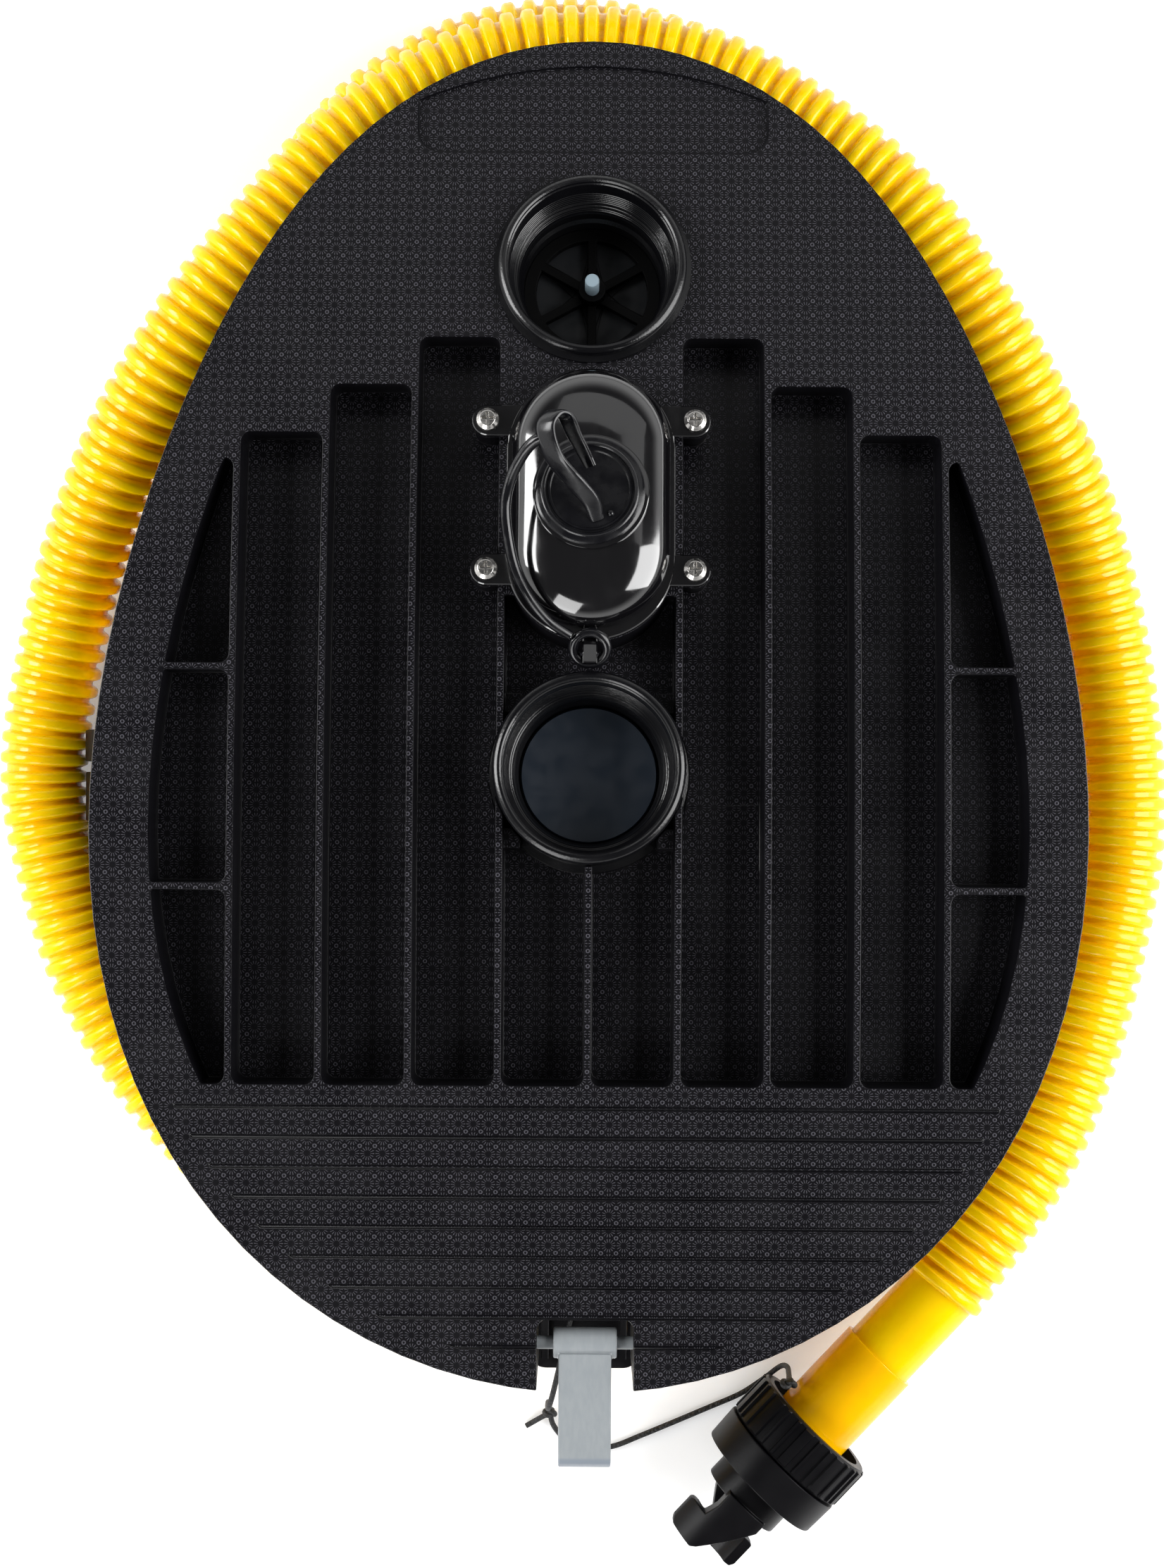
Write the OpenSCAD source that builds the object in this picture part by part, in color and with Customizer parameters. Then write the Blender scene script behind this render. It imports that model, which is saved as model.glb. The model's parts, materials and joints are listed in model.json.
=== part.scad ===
// Foot-operated two-stage bellows pump with its ribbed hose, stored closed.
// Units are millimetres. +Z is up, +Y points to the hinge, +X to the right.
// The origin is on the floor, under the middle of the closed pump.

/* [Upper board] */
// Length of the upper board
board_l = 358.5; // [352:0.5:362]
// Width scale of the board's egg outline
board_w = 254.4; // [248:0.2:258]
// Height of the board's flat top above the floor
top_z0 = 87; // [86:0.5:88]
// Depth of the channels in the top
channel_d = 12.5; // [10:0.5:13]
// Thickness of the moulded skin and walls
skin = 3.5; // [3:0.1:4]

/* [Lower board] */
// How far the lower board stays inside the upper board's edge
base_inset = 22; // [22:0.5:23]
// Height of the lower board's upper face
base_top = 20; // [19:0.5:21]
// Height of the feet under the lower board
foot_h = 4; // [3:0.5:5]

/* [Ports] */
// Radius of the bore of both ports
port_bore_r = 19.4; // [19:0.1:20]
// Radius of the rim of both ports
port_rim_r = 25; // [24.6:0.1:25.2]

/* [Hose] */
// Outer diameter over the hose's ribs
hose_d = 25; // [24:0.5:25]
// Number of ribs on the hose
hose_ribs = 160; // [80:1:170]
// Number of turns of the return spring
spring_turns = 6; // [4:1:7]

/* [Hidden] */
$fn = 64;

black = "#1b1b1e";
yellow = "#ffc400";

// --- Upper board outline and bent top -------------------------------------
board_y = 10.25;           // middle of the board's length
egg_n = 96;                // corners of the egg outline
bend_y0 = -51.5;           // the top is flat in front of this place
bend_y1 = 88.5;            // and straight again behind this one
bend_r = 848;              // radius of the bend between them
bend_steps = 8;
rim_z = 50.5;              // lower edge of the upper board

function egg_taper(s) = 1 - 0.178 * s + 0.056 * s * s + 0.067 * s * s * s;
function egg_edge(a) = [
    board_w / 2 * cos(a) * egg_taper(sin(a)),
    board_y + board_l / 2 * sin(a)];
function unit(v) = v / norm(v);
// Point of the outline at angle a, moved inwards by d along the normal
function egg_point(a, d) =
    let (p = egg_edge(a), t = unit(egg_edge(a + 0.5) - egg_edge(a - 0.5)))
    [p.x - d * t.y, p.y + d * t.x];

bend_slope = (bend_y1 - bend_y0) / bend_r;
// Height of the board's top at the place y
function top_z(y) =
    y < bend_y0 ? top_z0 :
    y < bend_y1 ? top_z0 - pow(y - bend_y0, 2) / (2 * bend_r) :
    top_z0 - pow(bend_y1 - bend_y0, 2) / (2 * bend_r) - bend_slope * (y - bend_y1);

module egg(inset = 0) {
    polygon([for (i = [0 : egg_n - 1]) egg_point(360 * i / egg_n, inset)]);
}

module egg_slab(inset, z0, z1) {
    translate([0, 0, z0]) linear_extrude(z1 - z0) egg(inset);
}

module egg_ring(inset_out, inset_in, z0, z1) {
    difference() {
        egg_slab(inset_out, z0, z1);
        egg_slab(inset_in, z0 - 1, z1 + 1);
    }
}

// Everything below a surface that lies drop under the board's top
module under_top(drop) {
    far = 250;
    bend = [for (i = [0 : bend_steps])
        let (y = bend_y0 + (bend_y1 - bend_y0) * i / bend_steps) [y, top_z(y) - drop]];
    rotate([90, 0, 90])
        linear_extrude(2 * far, center = true)
            polygon(concat(
                [[-far, -10], [-far, top_z0 - drop]], bend,
                [[far, top_z(far) - drop], [far, -10]]));
}

module block(x0, x1, y0, y1, z0, z1) {
    translate([x0, y0, z0]) cube([x1 - x0, y1 - y0, z1 - z0]);
}

module tube(r_out, r_in, z0, z1) {
    difference() {
        translate([0, 0, z0]) cylinder(r = r_out, h = z1 - z0);
        translate([0, 0, z0 - 1]) cylinder(r = r_in, h = z1 - z0 + 2);
    }
}

// --- Ribs and channels ------------------------------------------------------
rib_w = 2;                 // width of the ribs between the channels
channel_p = 23.2;          // distance between ribs
channel_y0 = -89.5;        // front end of every channel
channel_tops = [106.5, 93.5, 80.5];
outer_top = 73.5;
outer_inset = 15.5;        // edge band outside the outermost channels
cross_ribs = [-38.5, 18.5];
corner_r = 2.5;
deck_h = 100;              // height of the tools that cut through the top

module round_rect(x0, x1, y0, y1, r, z0, z1) {
    block(x0 + r, x1 - r, y0, y1, z0, z1);
    block(x0, x1, y0 + r, y1 - r, z0, z1);
    for (x = [x0 + r, x1 - r], y = [y0 + r, y1 - r])
        translate([x, y, z0]) cylinder(r = r, h = z1 - z0, $fn = 24);
}

module channels() {
    difference() {
        for (side = [-1, 1]) {
            for (i = [0 : 2]) {
                x = (i + 1) * channel_p + rib_w / 2;
                round_rect(
                    side > 0 ? x : -x - channel_p + rib_w,
                    side > 0 ? x + channel_p - rib_w : -x,
                    channel_y0, channel_tops[i], corner_r, 40, deck_h);
            }
            outer_channels(side);
            centre_x = channel_p - rib_w / 2;
            round_rect(
                side > 0 ? rib_w / 2 : -centre_x, side > 0 ? centre_x : -rib_w / 2,
                channel_y0, out_y, corner_r, 40, deck_h);
            block(-centre_x, centre_x, out_y - 10, cover_y0 + 12, 40, deck_h);
        }
        under_top(channel_d);
    }
}

module outer_channels(side) {
    x = 4 * channel_p + rib_w / 2;
    ends = concat([channel_y0], [for (y = cross_ribs) y], [outer_top]);
    intersection() {
        egg_slab(outer_inset, 40, deck_h);
        for (i = [0 : len(ends) - 2])
            round_rect(
                side > 0 ? x : -x - 60, side > 0 ? x + 60 : -x,
                ends[i] + (i > 0 ? rib_w / 2 : 0),
                ends[i + 1] - (i < len(ends) - 2 ? rib_w / 2 : 0),
                corner_r, 40, deck_h);
    }
}

// --- Ports and valves ---------------------------------------------------------
in_y = 125.5;              // intake, on the sloping end of the top
in_tilt = atan(bend_slope);
out_y = -7.5;              // outlet, in the middle
out_tilt = 6;
out_pad = -12.8;           // seat of the outlet collar, below the top
port_rim = 4.6;            // rims stand this far above the top
port_wall_r = 24;          // the collar's tube and its hole in the board
port_flange_r = 26.25;

module at_inlet() {
    translate([0, in_y, top_z(in_y)]) rotate([-in_tilt, 0, 0]) children();
}

module at_outlet() {
    translate([0, out_y, top_z(out_y)]) rotate([-out_tilt, 0, 0]) children();
}

// --- Valve cover and plug -----------------------------------------------------
cover_y0 = 25.5;           // front and rear ends of the cover
cover_y1 = 97.5;
cover_r = 22;
cover_h = 15;              // height of the dome above its seat
cover_yc = (cover_y0 + cover_y1) / 2 - 0.5;
cover_tilt = 7.6;
cover_span = (cover_y1 - cover_y0) / 2 - cover_r;
dome_r = 21;
dome_dy = 1.2;             // the dome stands back from the flange's front end
screw_y = [43.5, 83.3];
screw_x = 27.1;
plug_dy = 1.3;             // plug, behind the cover's middle
plug_hole_r = 9.6;
flap_y = -22.5;            // passage to the second stage, in front of the cover's middle
flap_hinge_y = -13.5;

module at_cover() {
    translate([0, cover_yc, top_z(cover_yc)]) rotate([-cover_tilt, 0, 0]) children();
}

// Stadium along Y with end radius r, from z0 to z1
module stadium(r, z0, z1) {
    for (side = [-1, 1])
        translate([0, side * cover_span, z0]) cylinder(r = r, h = z1 - z0);
    block(-r, r, -cover_span, cover_span, z0, z1);
}

// --- Latch, hinge, stops --------------------------------------------------------
latch_y = -157.1;
latch_z = 81;
latch_pin_r = 1.7;
notch_x = 12.5;
notch_y = -149.7;
hinge_y = 180.5;
hinge_z = 52;
hinge_pin_r = 1.5;
stop_x = 38;
stop_y = -108;
spring_y = -81.5;

// --- Bellows ------------------------------------------------------------------
clamp_h = 3;               // clamping rings of the bellows
lid_ring_z = 48;           // lower face of the upper clamping ring
clamp_in = 38;             // the rings reach this far inwards
inner_y = 5;               // the small bellows is under the outlet and the stage valve
inner_r = 40;              // outer fold of the small bellows
inner_wall_r = 42;
foot_places = [[-60, -105], [60, -105], [-88, 10], [88, 10], [-50, 125], [50, 125]];

module at_feet() {
    for (p = foot_places) translate([p.x, p.y, 0]) children();
}

module at_stops() {
    for (side = [-1, 1]) translate([side * stop_x, stop_y, 0]) children();
}

// --- Upper board -----------------------------------------------------------------
module top_board() {
    color(black) difference() {
        union() {
            difference() {
                intersection() {
                    egg_slab(0, rim_z, 110);
                    under_top(0);
                }
                channels();
                board_hollow();
                edge_chamfer();
            }
            board_inside();
            cover_seat();
            outlet_pad();
            grip_lines();
        }
        label_recess();
        notch_cut();
        port_holes();
        cover_holes();
        stage_holes();
        knuckle_room();
    }
}

// Everything more than cover below the moulded skin, which dips at the channels
module under_skin(cover) {
    under_top(channel_d + cover);
    intersection() {
        under_top(cover);
        union() {
            block(-200, 200, -200, channel_y0 - cover, 40, 110);
            block(-200, 200, channel_tops[0] + cover, 200, 40, 110);
            egg_ring(cover, outer_inset - cover, 40, 110);
        }
    }
}

module board_hollow() {
    intersection() {
        egg_slab(skin, rim_z - 1, 110);
        under_skin(skin);
    }
}

module edge_chamfer() {
    size = 6;
    end_y = board_y + board_l / 2;
    translate([0, end_y, rim_z]) rotate([45, 0, 0])
        cube([200, size * sqrt(2), size * sqrt(2)], center = true);
}

// Walls that hang under the skin: bellows flange, stage tube, spring seat, stops, hinge
module board_inside() {
    intersection() {
        under_skin(skin / 2);
        union() {
            egg_ring(base_inset, base_inset + 3, lid_ring_z + clamp_h, 110);
            translate([0, inner_y, 0]) tube(inner_wall_r, inner_wall_r - 4, lid_ring_z + clamp_h + 3, 72);
            translate([0, spring_y, 0]) tube(24, 21, 54, 84);
            at_stops() translate([0, 0, rim_z]) cylinder(r = 7, h = 40);
            block(-9.8, 9.8, hinge_y - 4, hinge_y + 5, hinge_z, 62);
            notch_walls();
            radial_ribs();
        }
    }
    egg_ring(base_inset, clamp_in, lid_ring_z + clamp_h, lid_ring_z + clamp_h + 3);
    translate([0, hinge_y, hinge_z]) rotate([0, 90, 0]) cylinder(r = 4.8, h = 19.6, center = true);
}

// Walls round the notch; they carry the latch's pin
module notch_walls() {
    wall = 3;
    intersection() {
        egg_slab(1, rim_z, 110);
        block(-notch_x - wall, notch_x + wall, -180, notch_y + wall, rim_z, 110);
    }
}

// Short ribs between the skirt and the bellows wall
module radial_ribs() {
    for (a = [15 : 30 : 345])
        if (a != 75 && a != 105 && a != 255 && a != 285)
            intersection() {
                egg_ring(skin - 0.5, base_inset + 0.5, rim_z + 5, 110);
                translate([egg_point(a, 12).x, egg_point(a, 12).y, 0])
                    rotate([0, 0, a]) block(-30, 30, -1, 1, rim_z + 5, 110);
            }
}

module cover_seat() {
    intersection() {
        under_top(0);
        at_cover() stadium(cover_r, -channel_d - 3, 0);
    }
    for (side = [-1, 1], y = screw_y)
        translate([side * screw_x, y, top_z(y) - channel_d - 1])
            cylinder(r = 4, h = channel_d + 0.6, $fn = 32);
}

// Raised seat of the outlet collar, and the four gussets round it
module outlet_pad() {
    gusset_t = 8;
    at_outlet() translate([0, 0, out_pad - 6]) cylinder(r = port_flange_r, h = 6);
    difference() {
        for (sx = [-1, 1], sy = [-1, 1])
            at_outlet() translate([sx * 20.2, sy * 17.8, out_pad])
                block(-2.4, 2.4, -2.6, 2.6, 0, gusset_t);
        at_outlet() translate([0, 0, out_pad]) cylinder(r = port_rim_r + 0.1, h = 40);
    }
}

module grip_lines() {
    first_y = -95.3;
    pitch = 7.7;
    intersection() {
        egg_slab(7, top_z0 - 1, top_z0 + 0.4);
        for (i = [0 : 8])
            block(-120, 120, first_y - pitch * i - 0.4, first_y - pitch * i + 0.4, top_z0 - 1, 90);
    }
}

// Bare recess with an arched rear edge
module label_recess() {
    y0 = 158;
    arc_r = 118;
    depth = 1.2;
    difference() {
        intersection() {
            round_rect(-47, 47, y0, 182.2, 6, 40, deck_h);
            translate([0, 182.2 - arc_r, 40]) cylinder(r = arc_r, h = 60, $fn = 128);
        }
        under_top(depth);
    }
}

module notch_cut() {
    round_rect(-notch_x, notch_x, -200, notch_y, 3, 30, 110);
    translate([0, latch_y, latch_z]) rotate([0, 90, 0])
        cylinder(r = latch_pin_r, h = 30, center = true, $fn = 32);
}

module port_holes() {
    at_inlet() translate([0, 0, -40]) cylinder(r = port_wall_r, h = 60);
    at_outlet() translate([0, 0, -50]) cylinder(r = port_wall_r, h = 80);
    at_outlet() translate([0, 0, out_pad]) cylinder(r = port_flange_r + 0.1, h = 2.1);
    at_outlet() translate([0, 0, out_pad + 2]) cylinder(r = port_rim_r + 0.1, h = 40);
}

module cover_holes() {
    at_cover() for (side = [-1, 1], y = screw_y)
        translate([side * screw_x, y - cover_yc, -10]) cylinder(r = 1.4, h = 20, $fn = 24);
}

// Passages under the cover: one to the large bellows, one to the second stage
module stage_holes() {
    at_cover() translate([0, 12, -30]) cylinder(r = 7, h = 40);
    at_cover() translate([0, flap_y, -30]) cylinder(r = 4.5, h = 40);
}

// Room for the lower board's outer knuckles
module knuckle_room() {
    for (side = [-1, 1])
        translate([side * 15.3, hinge_y, hinge_z]) rotate([0, 90, 0])
            cylinder(r = 5.1, h = 10.4, center = true);
    translate([0, hinge_y, hinge_z]) rotate([0, 90, 0])
        cylinder(r = hinge_pin_r + 0.05, h = 60, center = true);
}

module bellows_lid_ring() {
    color("#202023") difference() {
        egg_ring(base_inset + 1, clamp_in, lid_ring_z, lid_ring_z + clamp_h);
        at_ring_screws() cylinder(r = 1.3, h = 200, center = true, $fn = 24);
    }
}

ring_screw_n = 12;
module at_ring_screws() {
    for (i = [0 : ring_screw_n - 1])
        let (p = egg_point(360 * (i + 0.5) / ring_screw_n, clamp_in - 2.4))
        translate([p.x, p.y, 0]) children();
}

// Screw with its head downwards; the head's upper face is at z = 0
module screw_up(shank_r, shank_l, head_r, head_h) {
    cylinder(r = shank_r, h = shank_l, $fn = 24);
    translate([0, 0, -head_h]) cylinder(r = head_r, h = head_h, $fn = 24);
}

module lid_ring_screws() {
    color("silver") at_ring_screws()
        translate([0, 0, lid_ring_z]) screw_up(1.3, clamp_h, 2.2, 1.4);
}

module inner_lid_ring() {
    color("#202023") translate([0, inner_y, 0])
        tube(inner_wall_r, 33, lid_ring_z + clamp_h, lid_ring_z + clamp_h + 3);
}

module spring_cup() {
    color("#2a2a2d") translate([0, spring_y, 0]) {
        tube(24, 12, 51, 54);
        tube(24, 22.4, 48.5, 51);
    }
}

// --- Ports -------------------------------------------------------------------------
// Collar: tube, flange, rounded rim, and a mouth that narrows to a short straight bore
bore_top = -9;             // the mouth's cone ends here, and the bore starts
bore_end = -12.4;
module port_collar(flange_z, depth) {
    rim_top = port_rim;
    mouth_r = port_rim_r - 2.4;
    rotate_extrude($fn = 96) polygon([
        [port_bore_r - 0.8, -depth], [port_wall_r, -depth], [port_wall_r, flange_z],
        [port_flange_r, flange_z], [port_flange_r, flange_z + 0.8],
        [port_rim_r - 0.6, flange_z + 1.3], [port_rim_r - 0.6, rim_top - 3.2],
        [port_rim_r, rim_top - 2.4], [port_rim_r, rim_top - 1.2], [port_rim_r - 0.8, rim_top - 0.3],
        [port_rim_r - 1.6, rim_top], [mouth_r + 0.2, rim_top - 0.2], [mouth_r, rim_top - 1.4],
        [mouth_r - 0.3, rim_top - 1.6], [mouth_r - 0.4, -1.5], [port_bore_r + 0.2, bore_top + 0.2],
        [port_bore_r, bore_top], [port_bore_r, bore_end], [port_bore_r - 0.8, bore_end - 1]]);
}

module inlet_port() {
    color(black) at_inlet() port_collar(0, 20);
}

module outlet_port() {
    color(black) at_outlet() port_collar(out_pad, 28);
}

// Spoked ring with a hub; the valve lies on its lower or upper face
module spoked_seat(r, z0, z1, hub_r, hub_z, bore_r) {
    difference() {
        union() {
            tube(r, r - 3.4, z0, z1);
            translate([0, 0, z0]) cylinder(r = hub_r, h = hub_z - z0);
            for (i = [0 : 2])
                rotate([0, 0, 30 + 60 * i]) block(-r + 3, r - 3, -1.2, 1.2, z0, z1);
        }
        translate([0, 0, z0 - 1]) cylinder(r = bore_r, h = 40, $fn = 32);
    }
}

seat_z = -17.5;            // upper face of the intake's spokes
stem_r = 1.95;
stem_top = -8;
module inlet_valve_seat() {
    color("#151517") at_inlet()
        spoked_seat(port_bore_r - 0.8, seat_z - 2.5, seat_z, 3.75, seat_z + 3.5, stem_r + 0.05);
}

module inlet_valve() {
    color("#b9cbd6") at_inlet() {
        stem_foot = seat_z - 4.5;
        translate([0, 0, stem_foot]) cylinder(r = stem_r, h = stem_top - stem_foot, $fn = 32);
        translate([0, 0, stem_foot + 0.5]) cylinder(r = 16.6, h = 1.5);
    }
}

disc_z = -17;              // lower face of the outlet's disc
module outlet_valve_seat() {
    color("#151517") at_outlet()
        spoked_seat(port_bore_r - 0.8, disc_z - 3, disc_z, 4, disc_z, 1.2);
}

module outlet_valve() {
    color("#4f6478") at_outlet() translate([0, 0, disc_z]) {
        cylinder(r = 18.2, h = 1.6);
        translate([0, 0, -5]) cylinder(r = 1.14, h = 6, $fn = 24);
    }
}

// --- Valve cover ----------------------------------------------------------------------
gasket_h = 1;
module cover_gasket() {
    color("#2b2b2b") at_cover() difference() {
        stadium(cover_r - 1.5, 0, gasket_h);
        stadium(cover_r - 4.5, -1, gasket_h + 1);
    }
}

// Dome with a rounded shoulder: two turned ends and a bar between them
module cover_dome(r, top) {
    span = cover_span - 0.5;
    shoulder = 9;
    steps = 6;
    side_view = concat(
        [[r, gasket_h], [r, top - shoulder]],
        [for (i = [1 : steps]) let (a = 90 * i / steps)
            [r - shoulder + shoulder * cos(a), top - shoulder + shoulder * sin(a)]]);
    last = len(side_view) - 1;
    mirrored = [for (i = [last : -1 : 0]) [-side_view[i].x, side_view[i].y]];
    for (side = [-1, 1])
        translate([0, side * span, 0]) rotate_extrude()
            polygon(concat([[0, gasket_h]], side_view, [[0, top]]));
    rotate([90, 0, 0]) linear_extrude(2 * span, center = true) polygon(concat(side_view, mirrored));
}

plug_boss_h = 1.2;
module valve_cover() {
    flange_h = 2.2;
    tab_h = 2;
    color("#101012") at_cover() difference() {
        union() {
            translate([0, dome_dy, 0]) cover_dome(dome_r, cover_h);
            stadium(cover_r, gasket_h, gasket_h + flange_h);
            for (y = screw_y) cover_tab(y - cover_yc, tab_h);
            translate([0, plug_dy, cover_h - 1]) cylinder(r = 14.6, h = 1 + plug_boss_h);
            cover_tongue();
        }
        difference() {
            translate([0, dome_dy, 0]) stadium(dome_r - 4.5, gasket_h - 1, cover_h - 3);
            translate([0, plug_dy, 0]) tube(plug_hole_r + 2, 1, 8, 20);
        }
        translate([0, plug_dy, 0]) cylinder(r = plug_hole_r, h = 30);
        for (side = [-1, 1], y = screw_y)
            translate([side * screw_x, y - cover_yc, -1]) cylinder(r = 1.4, h = 20, $fn = 24);
    }
}

// Tongue at the front end that holds the ring of the tether
module cover_tongue() {
    side_view = [
        [-30, gasket_h], [-36, gasket_h], [-39, 2.4], [-42.4, 2.8], [-42.4, 5], [-38, 4.6],
        [-35, 3.2], [-30, 3.2]];
    rotate([90, 0, 90]) linear_extrude(3.6, center = true) polygon(side_view);
}

// A pair of screw tabs across the cover with round ends
module cover_tab(y, tab_h) {
    for (side = [-1, 1]) {
        translate([side * screw_x, y, gasket_h]) cylinder(r = 4.2, h = tab_h, $fn = 32);
        block(side > 0 ? 18 : -screw_x, side > 0 ? screw_x : -18, y - 4.2, y + 4.2, gasket_h, gasket_h + tab_h);
    }
}

module cover_screws() {
    head_z = gasket_h + 2;
    color("silver") at_cover() for (side = [-1, 1], y = screw_y)
        translate([side * screw_x, y - cover_yc, head_z]) difference() {
            union() {
                translate([0, 0, -9]) cylinder(r = 1.4, h = 9, $fn = 24);
                cylinder(r = 3, h = 1, $fn = 32);
                translate([0, 0, 1]) cylinder(r1 = 3, r2 = 2, h = 1, $fn = 32);
            }
            for (turn = [0, 90]) rotate([0, 0, turn]) block(-1.6, 1.6, -0.35, 0.35, 1, 3);
        }
}

module stage_valve() {
    color("#3a4148") at_cover() {
        translate([0, flap_y, 0.15]) cylinder(r = 6.2, h = 1.5);
        block(-4, 4, flap_y + 4, flap_hinge_y, 0.15, 1.65);
        translate([0, flap_hinge_y, 0.9]) rotate([0, 90, 0]) cylinder(r = 0.75, h = 8, center = true, $fn = 24);
    }
}

// --- Plug with its finger loop --------------------------------------------------------
plug_flange_r = 14.2;
loop_r = 7.4;
loop_c = [-5.7, 8.2, 11.3]; // middle of the finger loop above the flange
module plug() {
    seat = cover_h + plug_boss_h;
    color("#121214") at_cover() translate([0, plug_dy, seat]) {
        rotate_extrude($fn = 96) polygon([
            [0, -7.5], [plug_hole_r - 1.6, -7.5], [plug_hole_r - 0.06, -5.5], [plug_hole_r - 0.06, 0],
            [plug_flange_r, 0], [plug_flange_r, 1.6], [11.8, 2], [11.8, 3.2], [10.8, 3.4],
            [10.4, 2.2], [0, 2.2]]);
        translate([4.8, -7.6, 1.8]) cylinder(r = 2.6, h = 1.6, $fn = 32);
        plug_strap();
        finger_loop();
    }
}

// Bent strap from the root to the loop
strap_path = [[4.8, -7.6, 3.2], [0.5, -5, 6.5], [-4, -2.5, 10.5], [-8, 1.2, 14.5]];
module plug_strap() {
    for (i = [0 : len(strap_path) - 2])
        hull() {
            translate(strap_path[i]) sphere(r = 1.7, $fn = 16);
            translate(strap_path[i + 1]) sphere(r = 1.7, $fn = 16);
        }
}

// Oval band that stands on edge
module finger_loop() {
    band_w = 6;
    band_t = 1.5;
    flat = 1;
    translate(loop_c) rotate([0, 53, 14.5]) difference() {
        loop_slab(loop_r, band_w, flat);
        loop_slab(loop_r - band_t, band_w + 2, flat);
    }
}

module loop_slab(r, h, flat) {
    for (side = [-1, 1])
        translate([0, side * flat, 0]) cylinder(r = r, h = h, center = true, $fn = 48);
    cube([2 * r, 2 * flat, h], center = true);
}

// --- Latch ------------------------------------------------------------------------------
module latch_pin() {
    color("#a9a9a9") translate([0, latch_y, latch_z]) rotate([0, 90, 0])
        cylinder(r = latch_pin_r, h = 30, center = true, $fn = 32);
}

module latch() {
    arm_w = 13.7;
    hub_w = 16.6;
    arm = [
        [-2, -2.2], [-30.5, -2.2], [-30.5, -5], [-31.6, -5.2], [-32.4, -4.2], [-32.4, 0.6],
        [-31, 2.4], [-28, 3.2], [-2, 3.8]];
    color("#9b9c9d") translate([0, latch_y, latch_z]) difference() {
        union() {
            rotate([0, 90, 0]) cylinder(r = 4, h = hub_w, center = true, $fn = 48);
            rotate([90, 0, 90]) linear_extrude(arm_w, center = true) polygon(arm);
        }
        rotate([0, 90, 0]) cylinder(r = latch_pin_r + 0.05, h = 40, center = true, $fn = 32);
    }
}

// --- Lower board ----------------------------------------------------------------------
module bottom_board() {
    color(black) difference() {
        union() {
            difference() {
                egg_slab(base_inset, foot_h, base_top);
                egg_slab(base_inset + skin, foot_h - 1, base_top - skin);
            }
            intersection() {
                egg_slab(base_inset + 1, foot_h, base_top - 1);
                union() {
                    for (x = [-72 : 36 : 72]) block(x - 1.2, x + 1.2, -160, 190, foot_h, 19);
                    for (y = [-120 : 40 : 160]) block(-120, 120, y - 1.2, y + 1.2, foot_h, 19);
                    at_feet() translate([0, 0, foot_h]) cylinder(r = 8.5, h = 14);
                }
            }
            at_stops() translate([0, 0, base_top - 1]) cylinder(r = 6, h = 25);
            translate([0, spring_y, 0]) tube(30, 27.2, base_top - 1, base_top + 3);
            hinge_cheeks();
        }
        at_feet() translate([0, 0, foot_h - 1]) cylinder(r = 4, h = 7);
        block(-9.1, 9.1, -150, -135.9, 12.4, 16.5);
        block(-9.1, 9.1, -150, -143.4, 12.4, base_top + 1);
        for (x = [-5, 5]) translate([x, -139.5, 10]) cylinder(r = 1.5, h = 9, $fn = 24);
        translate([0, hinge_y, hinge_z]) rotate([0, 90, 0])
            cylinder(r = hinge_pin_r, h = 60, center = true);
        translate([0, hinge_y, hinge_z]) rotate([0, 90, 0]) cylinder(r = 5.3, h = 20.6, center = true);
    }
}

// Two cheeks that carry the hinge's outer knuckles
module hinge_cheeks() {
    side_view = [
        [151, base_top - 2], [167, 8], [168.5, 14], [175, 33], [184.6, hinge_z - 1.5],
        [179, hinge_z + 3.8], [176.1, hinge_z], [169, 38], [166.6, 30], [166.6, base_top],
        [151, base_top]];
    for (x = [-15.2, 15.2]) {
        translate([x, 0, 0]) rotate([90, 0, 90]) linear_extrude(9.6, center = true) polygon(side_view);
        translate([x, hinge_y, hinge_z]) rotate([0, 90, 0]) cylinder(r = 4.5, h = 9.6, center = true);
    }
}

module base_feet() {
    color("#2a2a2a") at_feet() {
        cylinder(r = 8, h = foot_h);
        cylinder(r = 4, h = foot_h + 6);
    }
}

module stop_caps() {
    color("#2e2e30") at_stops() difference() {
        translate([0, 0, 40]) cylinder(r = 8, h = rim_z - 40.3);
        translate([0, 0, 39]) cylinder(r = 6, h = 5);
    }
}

module latch_catch() {
    side_view = [
        [-136, 12.5], [-147, 12.5], [-148, 15.5], [-150.2, 20], [-153.1, 23.5], [-153.1, 51],
        [-156.5, 51], [-156.5, 54], [-150.2, 54], [-150.2, 26], [-147.2, 22.4], [-147.2, base_top],
        [-143.5, base_top], [-143.5, 16.4], [-136, 16.4]];
    color("#1e1e21") difference() {
        union() {
            rotate([90, 0, 90]) linear_extrude(18, center = true) polygon(side_view);
            translate([-3, -153, 31]) rotate([0, 90, 0]) cylinder(r = 3.4, h = 3, center = true, $fn = 32);
            catch_apron();
        }
        translate([-3, -154.6, 31]) rotate([0, 90, 0]) cylinder(r = 1, h = 10, center = true, $fn = 24);
        for (x = [-5, 5]) translate([x, -139.5, 10]) cylinder(r = 1.5, h = 9, $fn = 24);
    }
}

// Lip under the notch that keeps the hose out of it, with two ribs to the plate
module catch_apron() {
    gusset = [[-150.2, 28], [-150.2, 36], [-155, 35], [-180, 29], [-180, 28]];
    round_rect(-13.5, 13.5, -186, -150.2, 3, 26.8, 29.2);
    for (x = [-11, 11])
        translate([x, 0, 0]) rotate([90, 0, 90]) linear_extrude(2, center = true) polygon(gusset);
}

module catch_screws() {
    color("silver") for (x = [-5, 5]) translate([x, -139.5, 12.5]) screw_up(1.5, 6.5, 2.8, 1.8);
}

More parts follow.
